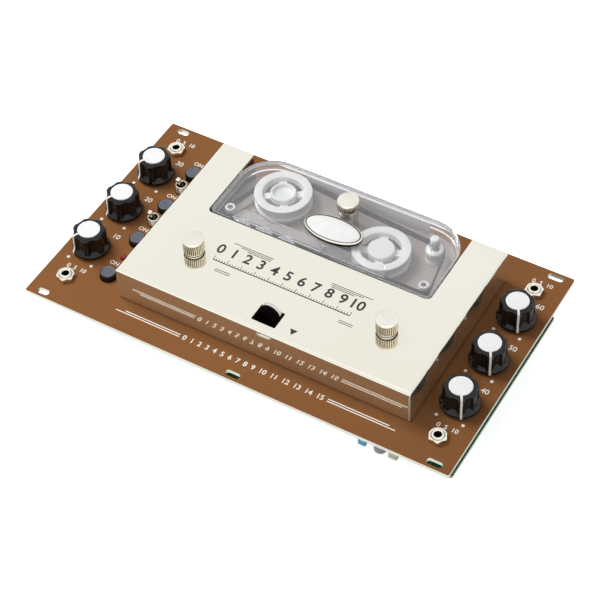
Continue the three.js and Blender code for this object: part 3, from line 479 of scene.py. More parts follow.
def smooth(obj, angle, bevel=0.0, limit=38):
    """Shades an object smooth up to an angle and, if asked, softens its edges."""
    mesh = obj.data
    mesh.polygons.foreach_set("use_smooth", [True] * len(mesh.polygons))
    mesh.set_sharp_from_angle(angle=math.radians(angle))
    if bevel:
        mod = obj.modifiers.new("edges", "BEVEL")
        mod.width = bevel * MM
        mod.segments = 2
        mod.limit_method = "ANGLE"
        mod.angle_limit = math.radians(limit)
        mod.harden_normals = True


def piece(name, shape, mats, body, slot, replaces=None, angle=35, bevel=0.0):
    mesh = bpy.data.meshes.new(name)
    mesh.from_pydata([placed(v) for v in shape.verts], [], shape.faces)
    for m in [mats] if isinstance(mats, str) else mats:
        mesh.materials.append(MAT[m])
    mesh.polygons.foreach_set("material_index", shape.slots)
    bm = bmesh.new()
    bm.from_mesh(mesh)
    bmesh.ops.recalc_face_normals(bm, faces=bm.faces[:])
    bm.to_mesh(mesh)
    bm.free()
    obj = new_object(name, mesh)
    smooth(obj, angle, bevel)
    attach(obj, body)
    if replaces:
        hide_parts(replaces)
    return obj


def repaint(nodes, look, bevel=0.0):
    """Gives carried-over solids a finish and, if asked, softer edges."""
    for name in nodes:
        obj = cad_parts[name]
        for slot in obj.material_slots:
            slot.material = MAT[look]
        smooth(obj, 32, bevel, 50)


def hull(points):
    """Convex outline of a set of points, counter-clockwise."""
    pts = sorted(set((round(x, 6), round(y, 6)) for x, y in points))

    def side(seq):
        out = []
        for p in seq:
            while len(out) > 1 and (
                (out[-1][0] - out[-2][0]) * (p[1] - out[-2][1])
                - (out[-1][1] - out[-2][1]) * (p[0] - out[-2][0])
            ) <= 0:
                out.pop()
            out.append(p)
        return out[:-1]

    return side(pts) + side(reversed(pts))


# Front panel


def slot_outline(x, y, length):
    r = 3.2 / 2
    h = length / 2 - r
    return arc(x + h, y, r, -QUARTER, QUARTER, 12) + arc(x - h, y, r, QUARTER, 3 * QUARTER, 12)


def front_panel():
    slots = []
    for x, length in ((8.4, 6.1), (PANEL_W - 8.4, 7.7), (PANEL_W / 2 + 1, 7.7)):
        slots += [slot_outline(x, y, length) for y in (3.2, PANEL_H - 3.2)]
    holes = [circle(x, y, 3.7, 40) for x in KNOB_X for y in KNOB_Y]
    holes += [circle(x, y, 3.2, 40) for x in KNOB_X for y in JACK_Y]
    holes += [circle(BUTTON_X, y, 4.3, 40) for y in BUTTON_Y]
    holes += [circle(BUTTON_X, y, 3.25, 40) for y in TOGGLE_Y]
    holes += [circle(BUTTON_X, LAMP_Y, 1.8, 32), circle(DECK, CAPSTAN_Y, 5.2, 40)]
    outline = rounded_box(0, PANEL_W, 0, PANEL_H, 1, 6)
    plate = Shape().slab([outline] + slots + holes, -PANEL_T, 0)
    piece("panel_plate", plate, "panel", "unit", "panel", "front_panel", bevel=0.18)

    pillars = Shape()
    near_pair = [(x, SCREW_Y, 8.85, 17.5, 17.85) for x in SCREW_X]
    for x, y, bore, mouth, top in [*near_pair, (DECK, 99.8, 1, 7.6, 7.9)]:
        wall = [(2, bore), (2, mouth), (2.3, top), (3.3, top), (3.6, top - 0.3)]
        pillars.lathe(wall + [(3.6, GAP), (0, GAP), (0, bore)], x, y, 48)
    piece("pillars", pillars, "zinc", "unit", "panel")

    pins = Shape()
    pin = [(0, GAP), (1.3, GAP), (1.3, 2), (2.2, 2), (2.2, 3, 0.2), (0, 3)]
    for x in (DECK - 23.4, DECK + 4):
        pins.lathe(pin, x, 57, 40)
    piece("guide_pins", pins, "turned", "unit", "panel")

    posts = Shape()
    corner = 5 / math.sqrt(3)
    for x in (40, PANEL_W - 40):
        for y in (12.4, PANEL_H - 20):
            posts.skin([
                ring(x, y, corner - shrink, z, 6)
                for z, shrink in ((-11.7, 0.3), (-11.4, 0), (-2.5, 0), (-PANEL_T - GAP, 0))
            ])
    piece("board_posts", posts, "brass", "unit", "panel", bevel=0.08)


# Knobs, with their seven flutes, white caps and pointers


def knob_shape():
    """Flutes run up the body and die out in the flared skirt's scallops."""
    n = 7 * 28
    rows = [ring(0, 0, r, z, n) for r, z in ((0.5, 2.45), (6.2, 2.45), (6.2, 1.05))]
    # Height, radius and depth of the flutes
    table = [
        (1.05, 9.0, 0.1), (1.2, 9.22, 0.12), (1.45, 9.34, 0.14), (2.1, 9.34, 0.16),
        (2.4, 9.24, 0.22), (2.65, 9.05, 0.4), (2.95, 8.85, 0.65), (3.3, 8.68, 0.95),
        (3.7, 8.54, 1.2), (4.2, 8.42, 1.38), (5.0, 8.3, 1.45), (8.0, 8.2, 1.4),
        (10.2, 8.15, 1.36), (10.9, 8.14, 1.26), (11.4, 8.12, 1.08), (11.8, 8.06, 0.86),
        (12.1, 7.94, 0.7), (12.35, 7.72, 0.58), (12.55, 7.38, 0.46), (12.66, 6.98, 0.36),
        (12.7, 6.5, 0.2), (12.7, 5.75, 0.0),
    ]
    flutes = []
    for i in range(n):
        t = min(1, max(0, (math.sin(3.5 * (TAU * i / n)) ** 2 - 0.12) / 0.73))
        flutes.append(t * t * (3 - 2 * t))
    rows += [shaped_ring([r - depth * share for share in flutes], z) for z, r, depth in table]
    return rows + [ring(0, 0, r, 12.45, n) for r in (5.7, 0.5)]


def knobs():
    rows = knob_shape()
    cap = [(0, 12.2), (5.42, 12.2), (5.42, 12.95, 0.18), (5.1, 13.0, 0.2), (0, 13.0)]
    # The pointer's outer line as (radius, height), down the cap's edge, the body and the skirt
    line = [
        (5.2, 12.93), (6.9, 12.86), (7.7, 12.62), (8.18, 12.2), (8.32, 11.5), (8.42, 5.1),
        (8.6, 4.2), (8.85, 3.4), (9.2, 2.75), (9.47, 2.35), (9.52, 1.9), (9.52, 1.15),
    ]
    outline = line + [(r - 0.55, z - 0.25) for r, z in reversed(line)]
    half = 0.5
    verts = [(r, y, z) for y in (-half, half) for r, z in outline]
    m, c = len(outline), len(line)
    faces = [(i, (i + 1) % m, m + (i + 1) % m, m + i) for i in range(m)]
    for i in range(c - 1):
        faces.append((i, i + 1, m - 2 - i, m - 1 - i))
        faces.append((m + i, m + m - 1 - i, m + m - 2 - i, m + i + 1))
    for side, x, angle in zip(SIDES, KNOB_X, (-121, -61)):
        for k, y in enumerate(KNOB_Y, 1):
            name = f"knob_{side}_{k}"
            move = turned(x, y, angle)
            body = Shape().skin(rows).moved(move)
            piece(name + "_body", body, "black", name, "knob", name, angle=32)
            disc = Shape().lathe(softened(cap, 4), n=96).moved(move)
            piece(name + "_cap", disc, "white_gloss", name, "knob", angle=50)
            strip = Shape().add(verts, faces).moved(move)
            piece(name + "_pointer", strip, "ink_white", name, "knob", angle=40)


# Jacks, buttons, toggle switches and the lamp


def hex_nut(flats, bore, z0, z1):
    """A nut whose corners a cone trims at both ends."""
    n, lean = 96, 0.45
    corner = flats / math.sqrt(3)
    edge = flats / 2 - 0.05
    turns = [(TAU * i / n + math.pi / 6) % (math.pi / 3) - math.pi / 6 for i in range(n)]
    radii = [flats / 2 / math.cos(a) for a in turns]
    levels = [(z0, edge), (z0 + lean * 0.6, corner), (z1 - lean, corner)]
    levels += [(z1 - lean / 2, (corner + edge) / 2 + 0.08), (z1, edge)]
    rows = [ring(0, 0, bore, z0, n)]
    rows += [shaped_ring([min(r, cone) for r in radii], z) for z, cone in levels]
    rows += [ring(0, 0, bore + 0.3, z1, n), ring(0, 0, bore, z1 - 0.3, n)]
    s = Shape().skin(rows, caps=False)
    last = (len(rows) - 1) * n
    s.faces += [(last + i, last + (i + 1) % n, (i + 1) % n, i) for i in range(n)]
    s.slots += [0] * n
    return s


def threads(radius, z0, z1, pitch=0.5, depth=0.16):
    out = []
    z = z0
    while z + pitch <= z1:
        out += [(radius - depth, z), (radius, z + pitch * 0.4), (radius, z + pitch * 0.6)]
        z += pitch
    return out + [(radius - depth, z1)]


def jacks():
    turns = {"left_near": 12, "left_far": 8, "right_near": 25, "right_far": 0}
    collar = [(1.8, -1.8), (1.8, 2.75), (1.95, 3.0), (2.2, 3.1), (2.55, 3.1), (2.78, 2.9)]
    collar += [*reversed(threads(2.9, 0.1, 2.9)), (2.9, -2.4)]
    for side, x in zip(SIDES, KNOB_X):
        for row, y in zip(("near", "far"), JACK_Y):
            where = f"{side}_{row}"
            nut = hex_nut(8, 3.0, 0.05, 2.4).moved(turned(x, y, turns[where]))
            piece(f"jack_ring_{where}", nut, "nickel", "unit", "nickel", f"jack_nut_{where}", 28)
            bush = Shape().lathe(collar, x, y, 72)
            piece(f"jack_collar_{where}", bush, "nickel", "unit", "jack", f"jack_{where}", 40)
            body = Shape().lathe([(1.79, 1.6), (1.79, -9.8), (0, -9.8)], x, y, 48)
            body.slab([box_round(x, y, 4.7, 4.7, 0.6), circle(x, y, 1.85, 40)], -11.7, -2.3)
            piece(f"jack_body_{where}", body, "matt_black", "unit", "jack", angle=40)


def buttons():
    foot = -9.3
    side = [(0, foot), (1.7, foot), (1.7, -1.2), (4, -1.2, 0.2), (4, 2.95, 0.3)]
    side += [(3.72, 3.2, 0.15), (3.45, 3.2)]
    rim = [(3.45, 3.2), (3.25, 3.0)]
    top = [(3.25, 3.0), (3.05, 2.93, 0.1), (0, 2.9)]
    for k, y in enumerate(BUTTON_Y, 1):
        name = f"button_{k}"
        cap = Shape()
        for profile, slot in ((side, 0), (rim, 2), (top, 1)):
            cap.lathe(profile, BUTTON_X, y, 72, slot)
        looks = ["matt_black", "slate", "slate_rim"]
        piece(f"button_cap_{k}", cap, looks, name, "button", name, 40)


def toggles():
    bush = [(2.1, 1.0), (2.2, 3.7), (2.25, 4.2), (2.45, 4.5), (2.7, 4.5), (2.85, 4.35)]
    bush += [*reversed(threads(2.95, 0.2, 4.3, 0.45, 0.13)), (2.95, -2.4)]
    bat = softened([(0, GAP), (0.62, GAP), (0.7, 1.2, 0.3), (0.8, 4.5, 0.4), (0.95, 6.5, 0.5)])
    ball = 1.36
    for i in range(11):
        a = math.radians(-42 + 132 * i / 10)
        bat.append((max(0, ball * math.cos(a)), 7.75 + ball * math.sin(a)))
    bat[-1] = (0, 9.1)
    c, s = math.cos(math.radians(15)), math.sin(math.radians(15))
    for k, y in enumerate(TOGGLE_Y, 1):
        b = Shape().lathe(bush, BUTTON_X, y, 64)
        switch = f"toggle_switch_{k}"
        piece(f"toggle_bushing_{k}", b, "nickel", "unit", "nickel", switch, 40)
        # A dark cone closes the bushing's bore as painted shade in the hole
        dark = [(2.14, 2.6), (1.2, 1.1), (1.05, 0.9), (0, 0.8)]
        well = Shape().lathe(dark, BUTTON_X, y, 48, 1)
        well.slab([box_round(BUTTON_X, y, 3.4, 6.2, 0.4)], -10.3, -2.3)
        looks = ["matt_black", "painted_shade"]
        piece(f"toggle_body_{k}", well, looks, "unit", "nickel", angle=40)
        lever = Shape().lathe(bat, n=48).moved(
            lambda v: (BUTTON_X + v[0], y + c * v[1] - s * v[2], 1.6 + s * v[1] + c * v[2])
        )
        arm = f"toggle_lever_{k}"
        piece(f"toggle_bat_{k}", lever, "nickel", f"toggle_{k}", "nickel", arm, 50)


def lamp():
    dome = [(0, -2), (1.9, -2), (1.9, -1.25), (1.5, -1.15), (1.5, 0.5)]
    for i in range(1, 10):
        a = math.radians(9 * i)
        dome.append((1.5 * math.cos(a), 0.5 + 1.5 * math.sin(a)))
    s = Shape().lathe(dome + [(0, 2)], BUTTON_X, LAMP_Y, 48)
    for side in (-1, 1):
        leg = [(0, -11.7), (0.3, -11.7), (0.3, -1.9), (0, -1.9)]
        s.lathe(leg, BUTTON_X + side * 0.635, LAMP_Y, 12)
    piece("lamp_lens", s, "red", "unit", "lamp", "status_lamp", 40)


# Folded cover


def tape_cover():
    x0, x1, near, far, top, foot = DECK - 76.8, DECK + 76.8, 17.7, 112.6, COVER_TOP, 0.4
    n0, n1, depth, r = DECK - 58.95, DECK + 58.95, 69.2, 2.5
    sheet, bend = 1.5, 2.0
    outline = [(x0 + bend, near + bend), (x1 - bend, near + bend), (x1 - bend, far - bend)]
    outline += [(n1, far - bend)] + arc(n1 - r, depth + r, r, 0, -QUARTER)
    outline += arc(n0 + r, depth + r, r, -QUARTER, -2 * QUARTER)
    outline += [(n0, far - bend), (x0 + bend, far - bend)]
    window = rounded_box(DECK - 6.1, DECK + 6.1, 21.6, 31.2, 0.4, 4)
    holes = [circle(x, SCREW_Y, 2.4, 48) for x in SCREW_X]
    plate = Shape().slab([outline, window] + holes, top - sheet, top)
    obj = piece("cover_top", plate, "cover", "cover", "cover", "tape_cover", 30)

    # The plate's upper edges are rounded, apart from those that the bends carry on
    bm = bmesh.new()
    bm.from_mesh(obj.data)
    near_zero = 1e-6
    limit = placed((0, 0, top)).z - near_zero
    lows, highs = placed((x0 + bend, near + bend, 0)), placed((x1 - bend, far - bend, 0))

    def cut_edge(e):
        a, b = (v.co for v in e.verts)
        if a.z < limit or b.z < limit or len(e.link_faces) != 2 or e.calc_face_angle() < 0.5:
            return False
        return not any(
            abs(a[axis] - line[axis]) < near_zero and abs(b[axis] - line[axis]) < near_zero
            for axis in (0, 1)
            for line in (lows, highs)
        )

    bmesh.ops.bevel(
        bm, geom=[e for e in bm.edges if cut_edge(e)], offset=0.16 * MM, segments=2,
        profile=0.5, affect="EDGES", clamp_overlap=True,
    )
    bm.to_mesh(obj.data)
    bm.free()
    smooth(obj, 20)

    # The walls and their bends are one section carried round the outer corners
    section = [(0, foot), (0, top - bend)]
    section += [(bend - x, top - bend + z) for x, z in arc(0, 0, bend, 0, QUARTER, 8)][1:]
    section += [(bend, top - sheet), (sheet, top - bend), (sheet, foot)]
    path = [
        (n1, far, 0, -1), (x1, far, -1, -1), (x1, near, -1, 1),
        (x0, near, 1, 1), (x0, far, 1, -1), (n0, far, 0, -1),
    ]
    rows = [[(x + d * sx, y + d * sy, z) for d, z in section] for x, y, sx, sy in path]
    piece("cover_walls", Shape().skin(rows), "cover", "cover", "cover", angle=26)

    # The right side wall ends open behind the near wall, and both bends have a relief
    seams, strips = Shape(), Shape()
    high = top - bend - 0.3
    strips.box(x1 - 1.15, x1 - 0.1, near - 0.02, near + 0.02, foot + 0.05, high)
    # The black seam line is painted shade in the gap beside the cut edge, and the black discs are
    # painted shade in the bend reliefs' holes
    seams.box(x1 - 1.3, x1 - 1.17, near - 0.015, near + 0.02, foot, high)
    for x, side in ((x0, 1), (x1, -1)):
        spot = circle(x + side * 1.2, top - bend - 0.15, 0.34, 20)
        seams.skin([[(px, near - 0.02 + k, pz) for px, pz in spot] for k in (0.0, 0.2)])
    piece("cover_seams", seams, "matt_black", "cover", "cover", angle=30)
    piece("cover_cut_edges", strips, "cut_edge", "cover", "cover", angle=30)


# Thumb screws


def thumb_screw(name, x, y, foot, knurl_low, neck, shank_end):
    ridges, per, top = 32, 6, 28.1
    n = ridges * per
    high = top - 1.65
    waves = [abs((i % per) / per * 2 - 1) - 0.5 for i in range(n)]
    # Neck, knurled barrel, a cut ring, then the plain rounded head; only the barrel is wavy
    rows = [
        shaped_ring([radius + depth * wave for wave in waves], z)
        for z, radius, depth in (
            (knurl_low, neck, 0), (knurl_low, 4.5, 0), (knurl_low + 0.35, 4.95, 0),
            (knurl_low + 0.4, 4.97, 0.36), (high - 0.3, 4.97, 0.36), (high - 0.25, 4.92, 0),
            (high - 0.12, 4.72, 0), (high + 0.12, 4.72, 0), (high + 0.28, 5.0, 0),
            (high + 0.42, 5.12, 0), (top - 0.62, 5.15, 0), (top - 0.38, 5.06, 0),
            (top - 0.1, 4.72, 0), (top, 4.45, 0), (top, 0.4, 0),
        )
    ]
    s = Shape().skin(rows).moved(turned(x, y, 3))
    # The knurl's valleys, the barrel's underside and the cut ring under the head take the dark tan
    # of painted shade; the crests keep the bright nickel
    barrel = 3
    for band in (0, 1, barrel, 5, 6):
        for i in range(n):
            crest = band == barrel and i % per not in (1, 2, 3)
            s.slots[band * n + i] = 2 if crest else 1
    stem = [(0, shank_end), (1.2, shank_end), (1.5, shank_end + 0.4), (1.5, foot)]
    stem += [(neck, foot, 0.15), (neck, knurl_low), (0, knurl_low)]
    s.lathe(stem, x, y, 72)
    piece(f"{name}_knurled", s, ["brass_nickel", "painted_shade", "ridge"], name, "nickel", name, 30)


# Cartridge


def cassette_outline(inset):
    near, far = 3 - inset, 18.5 - inset
    half = 58.35 - inset
    return rounded_box(
        DECK - half, DECK + half, CASSETTE_NEAR + inset, CASSETTE_NEAR + 45.1 - inset,
        [near, near, far, far], 14,
    )


def split_at_gate(loop, gate):
    """An outline's points up to the gate's left edge, and those from its right edge on."""
    near = min(y for x, y in loop)
    start = next(i for i, (x, y) in enumerate(loop) if y < near + 0.01 and x > DECK)
    return [*loop[:start], (gate[0], near)], [(gate[1], near), *loop[start:]]


def cassette():
    low, floor, split, under, top = 8.2, CASSETTE_FLOOR, 14.0, 18.15, COVER_TOP
    # The near side is open along the gate, so the rim is one bent strip
    gate, gate_far = (DECK - 47.5, DECK + 6.5), CASSETTE_NEAR + 5.35
    before, after = split_at_gate(cassette_outline(0), gate)
    inner = split_at_gate(cassette_outline(1.5), gate)
    rim = after + before + (inner[1] + inner[0])[::-1]
    outline = before + [(x, gate_far) for x in gate] + after
    holes = [circle(DECK, CAPSTAN_Y, 3.9, 40), circle(DECK, CASSETTE_SCREW_Y, 2.1, 32)]
    # The floor takes the grey of painted shade and reflection from below
    base = Shape().slab([outline] + holes, low, floor, 1)
    base.slab([rim], floor - 0.001, split)
    for x, y in (REEL_LEFT, REEL_RIGHT):
        hub = [(0, floor), (3.1, floor), (3.1, 13.3), (2.8, 13.6), (0, 13.6)]
        base.lathe(hub, x, y, 40)
    for x, y in GUIDES:
        pin = [(0, floor), (1.1, floor), (1.1, 17.6), (0.9, 17.85), (0, 17.85)]
        base.lathe(pin, x, y, 32)
    looks = ["clear", "tray_floor_shade"]
    piece("cassette_tray", base, looks, "cassette", "clear", "cassette_base", 30, bevel=0.2)

    holes = [circle(DECK, CASSETTE_SCREW_Y, 4.9, 56), circle(*POST, 2.75, 40)]
    lid = Shape().slab([cassette_outline(0)] + holes, under, top)
    lid.slab([rim], split + 0.1, under - 0.001)
    piece("cassette_top", lid, "clear", "cassette", "clear", "cassette_lid", 30, bevel=0.35)

    # The raised pad narrows from its near edge to its far one, and a little upwards
    x0, x1, y0 = DECK - 6 - 37.5, DECK - 6 + 37.5, CASSETTE_NEAR + 1.5
    pad = Shape().skin([
        [(x0 - 3 - grow, y0 - grow, z), (x1 + 3 + grow, y0 - grow, z),
         (x1 + grow, y0 + 6.1 + grow, z), (x0 - grow, y0 + 6.1 + grow, z)]
        for z, grow in ((top + 0.01, 0.35), (top + 0.55, 0.1), (top + 0.8, -0.15))
    ])
    piece("cassette_pad", pad, "clear", "cassette", "clear", angle=30, bevel=0.15)


def reel_shape(dished):
    bottom, tape_low, tape_high, top = 10.0, 12.3, 16.7, 17.85
    flange, core = 14, 12.9
    s = Shape()
    body = [
        (6.6, bottom), (flange, bottom, 0.3), (flange, tape_low, 0.3), (core, tape_low, 0.1),
        (core, tape_high, 0.1), (flange, tape_high, 0.3), (flange, top, 0.4), (10.2, top, 0.3),
        (9.8, top - 0.4, 0.2), (9.75, top - 2.2),
    ]
    s.lathe(body, n=112)

    def sector(r0, r1, a0, a1, inset, n0, n1):
        return (
            arc(0, 0, r1, a0 + inset / r1, a1 - inset / r1, n1)
            + arc(0, 0, r0, a1 - inset / r0, a0 + inset / r0, n0)
        )

    # A web with four windows closes the channel's floor, over the walls that part them
    turns = [i * TAU / 4 for i in range(4)]
    windows = [sector(6.6, 9.5, a, a + QUARTER, 2, 10, 14) for a in turns]
    s.slab([circle(0, 0, 9.9, 96)] + windows, top - 3.6, top - 2.2)
    for a in turns:
        s.slab([sector(6.3, 9.9, a, a, -1.9, 6, 6)], bottom + 0.2, top - 3.5)
    if dished:
        hub = [
            (0, top - 2.0), (3.4, top - 1.95), (4.5, top - 1.6), (4.9, top - 0.9),
            (5.0, top - 0.25), (5.25, top, 0.15), (5.95, top, 0.15), (6.25, top - 0.3),
            (6.35, top - 2.2), (6.35, bottom),
        ]
    else:
        hub = [(0, top + 0.05), (6.0, top + 0.02, 0.2), (6.45, top - 0.3, 0.3)]
        hub += [(6.5, top - 2.2), (6.5, bottom)]
    return s.lathe(hub, n=96)


def cassette_contents():
    for name, place, dished, turn in (
        ("reel_left", REEL_LEFT, True, 32), ("reel_right", REEL_RIGHT, False, 20),
    ):
        s = reel_shape(dished).moved(turned(*place, turn))
        piece(name + "_spool", s, "reel", name, "reel", name, 34)
    tube = [(1.4, 10), (GUIDE_R, 10, 0.1), (GUIDE_R, 17.6, 0.25), (2.2, 17.85, 0.1)]
    tube += [(1.7, 17.85, 0.2), (1.4, 17.5)]
    for name, (x, y) in zip(SIDES, GUIDES):
        s = Shape().lathe(tube, x, y, 56, closed=True)
        piece(f"guide_{name}_ring", s, "reel", "cassette", "reel", f"tape_guide_{name}", 40)
    post_r = 4.3
    bottle = softened([
        (0, 10), (post_r, 10, 0.3), (post_r, 11.0, 0.6), (3.7, 12.6, 0.8), (4.2, 14.9, 0.8),
        (4.5, 16.8, 0.6), (4.1, 17.8, 0.6), (2.3, 18.3, 0.5), (1.75, 20.8, 0.8),
        (2.3, 22.4, 0.5), (2.3, 24.9, 0.6), (1.7, 25.6, 0.4), (0, 25.6),
    ], 5)
    s = Shape().lathe(bottle, *POST, 64)
    piece("tension_bottle", s, "milky", "cassette", "reel", "tension_post", 50)

    # The tape runs round the hull of the two guides, the post and the left reel's core
    rollers = [(*GUIDES[0], GUIDE_R), (*GUIDES[1], GUIDE_R), (*POST, post_r), (*REEL_LEFT, 12.9)]
    loops = [
        hull([p for x, y, r in rollers for p in circle(x, y, r + out, 128)])
        for out in (0.6, 0.35)
    ]
    band = Shape().slab(loops, 12.6, 16.4)
    piece("tape_band", band, "tape", "cassette", "tape", "tape_loop", 30)
    badge()


def badge():
    """An oval rim whose sides and inner lip carry a painted dark reflection, round a domed white
    face.
    """
    n = 96

    def oval(rx, ry, z):
        turns = [TAU * i / n for i in range(n)]
        x, y = DECK, CASSETTE_NEAR + 15.5
        return [(x + rx * math.cos(a), y + ry * math.sin(a), z) for a in turns]

    rim = Shape().skin([
        oval(*row)
        for row in (
            (14.6, 7.4, 19.7), (14.9, 7.7, 19.9), (15.0, 7.8, 20.3), (15.0, 7.8, 20.9),
            (14.95, 7.75, 21.3), (14.7, 7.5, 21.65), (14.35, 7.15, 21.8), (13.95, 6.75, 21.75),
            (13.75, 6.55, 21.6),
        )
    ])
    # Bands of the rim's sides and inner lip take the painted dark reflection
    for i in [*range(n, 4 * n), *range(6 * n, 8 * n)]:
        rim.slots[i] = 1
    looks = ["nickel", "dark_edge"]
    piece("badge_rim", rim, looks, "cassette", "badge", "cassette_badge", 50)
    rows = [oval(13.8, 6.6, 21.55)]
    for k in range(9):
        t = k / 8 * 1.45
        rows.append(oval(13.78 * math.cos(t), 6.58 * math.cos(t), 21.7 + 0.7 * math.sin(t)))
    piece("badge_face", Shape().skin(rows), "white_gloss", "cassette", "badge", angle=60)


# Prints


def words(name, text, x, y, z, size, look, body, bold):
    curve = bpy.data.curves.new(name, "FONT")
    curve.body = text
    curve.size = size * MM
    curve.align_x = curve.align_y = "CENTER"
    curve.extrude = INK / 2 * MM
    curve.offset = bold * MM
    source = new_object(name + "_source", curve)
    graph = bpy.context.evaluated_depsgraph_get()
    mesh = bpy.data.meshes.new_from_object(source.evaluated_get(graph))
    bpy.data.objects.remove(source)
    mesh.transform(Matrix.Translation(placed((x, y, z + GAP))))
    mesh.materials.clear()
    mesh.materials.append(MAT[look])
    obj = new_object(name, mesh)
    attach(obj, body)


def panel_words(name, text, x, y, size, bold=0.05):
    words(name, text, x, y, 0, size, "ink_white", "unit", bold)


def stripe(s, x0, x1, y, z, width):
    s.box(x0, x1, y - width / 2, y + width / 2, z, z + INK)


def prints():
    top = COVER_TOP
    ink = Shape()
    fine, strong = 0.34, 0.5
    for k in range(3):
        y = 57.3 - k
        stripe(ink, 81.9 + 4.2 * k, 103.1 - 0.4 * k, y, top, fine)
        stripe(ink, 133.8 + 0.4 * k, 155 - 4.2 * k, y, top, fine)
    for x0, x1 in ((82.3, 90.4), (147.4, 154.5)):
        for y in (38.5, 39.6):
            stripe(ink, x0, x1, y, top, fine)
    # A plain ruled scale with numbers
    base, left, right = 44.0, 78.4, 150.2
    stripe(ink, left, right, base, top, strong)
    for i in range(51):
        x = left + (right - left) * i / 50
        tall = 2.6 if i % 5 == 0 else 1.3
        ink.box(x - 0.14, x + 0.14, base, base + tall, top, top + INK)
    mark = 132.8
    ink.slab([[(mark - 1.9, 25.0), (mark, 21.8), (mark + 1.9, 25.0)]], top, top + INK)
    piece("cover_print", ink, "ink_black", "cover", "cover")
    for i in range(11):
        x = left + (right - left) * i / 10
        words(f"scale_{i}", str(i), x, 51.2, top, 7.8, "ink_black", "cover", 0.16)

    white = Shape()
    for x0, x1, y in (
        (44.6, 79.4, 10.35), (49.4, 79.4, 11.6), (157.3, 191.7, 10.35), (157.3, 188.2, 11.6),
    ):
        stripe(white, x0, x1, y, 0.0, strong)
    for x in KNOB_X:
        for y in KNOB_Y:
            for side in (-1, 1):
                white.slab([circle(x + side * 6.55, y - 10.1, 0.8, 24)], 0.0, INK)
    piece("panel_print", white, "ink_white", "unit", "panel")
    row = "  ".join(str(i) for i in range(16))
    panel_words("panel_numbers", row, 118.3, 10.9, 3.85, 0.06)
    for k, (x, y) in enumerate(((x, y) for x in KNOB_X for y in KNOB_Y), 1):
        panel_words(f"knob_number_{k}", f"{k}0", x + 6.4, y + 11.6, 4.0)
    rows = (JACK_Y[0] + 6.8, JACK_Y[1] + 6.6)
    for k, (x, y) in enumerate(((x, y) for x in KNOB_X for y in rows), 1):
        panel_words(f"jack_number_{k}", "0  5  10", x + 1.2, y, 3.4)
    for k, y in enumerate(BUTTON_Y, 1):
        panel_words(f"button_word_{k}", "ON", BUTTON_X - 2.2, y + 8.2, 3.2)


# Board and its parts


def board_piece(name, shape, looks, **rest):
    piece(name, shape, looks, "unit", "board", **rest)


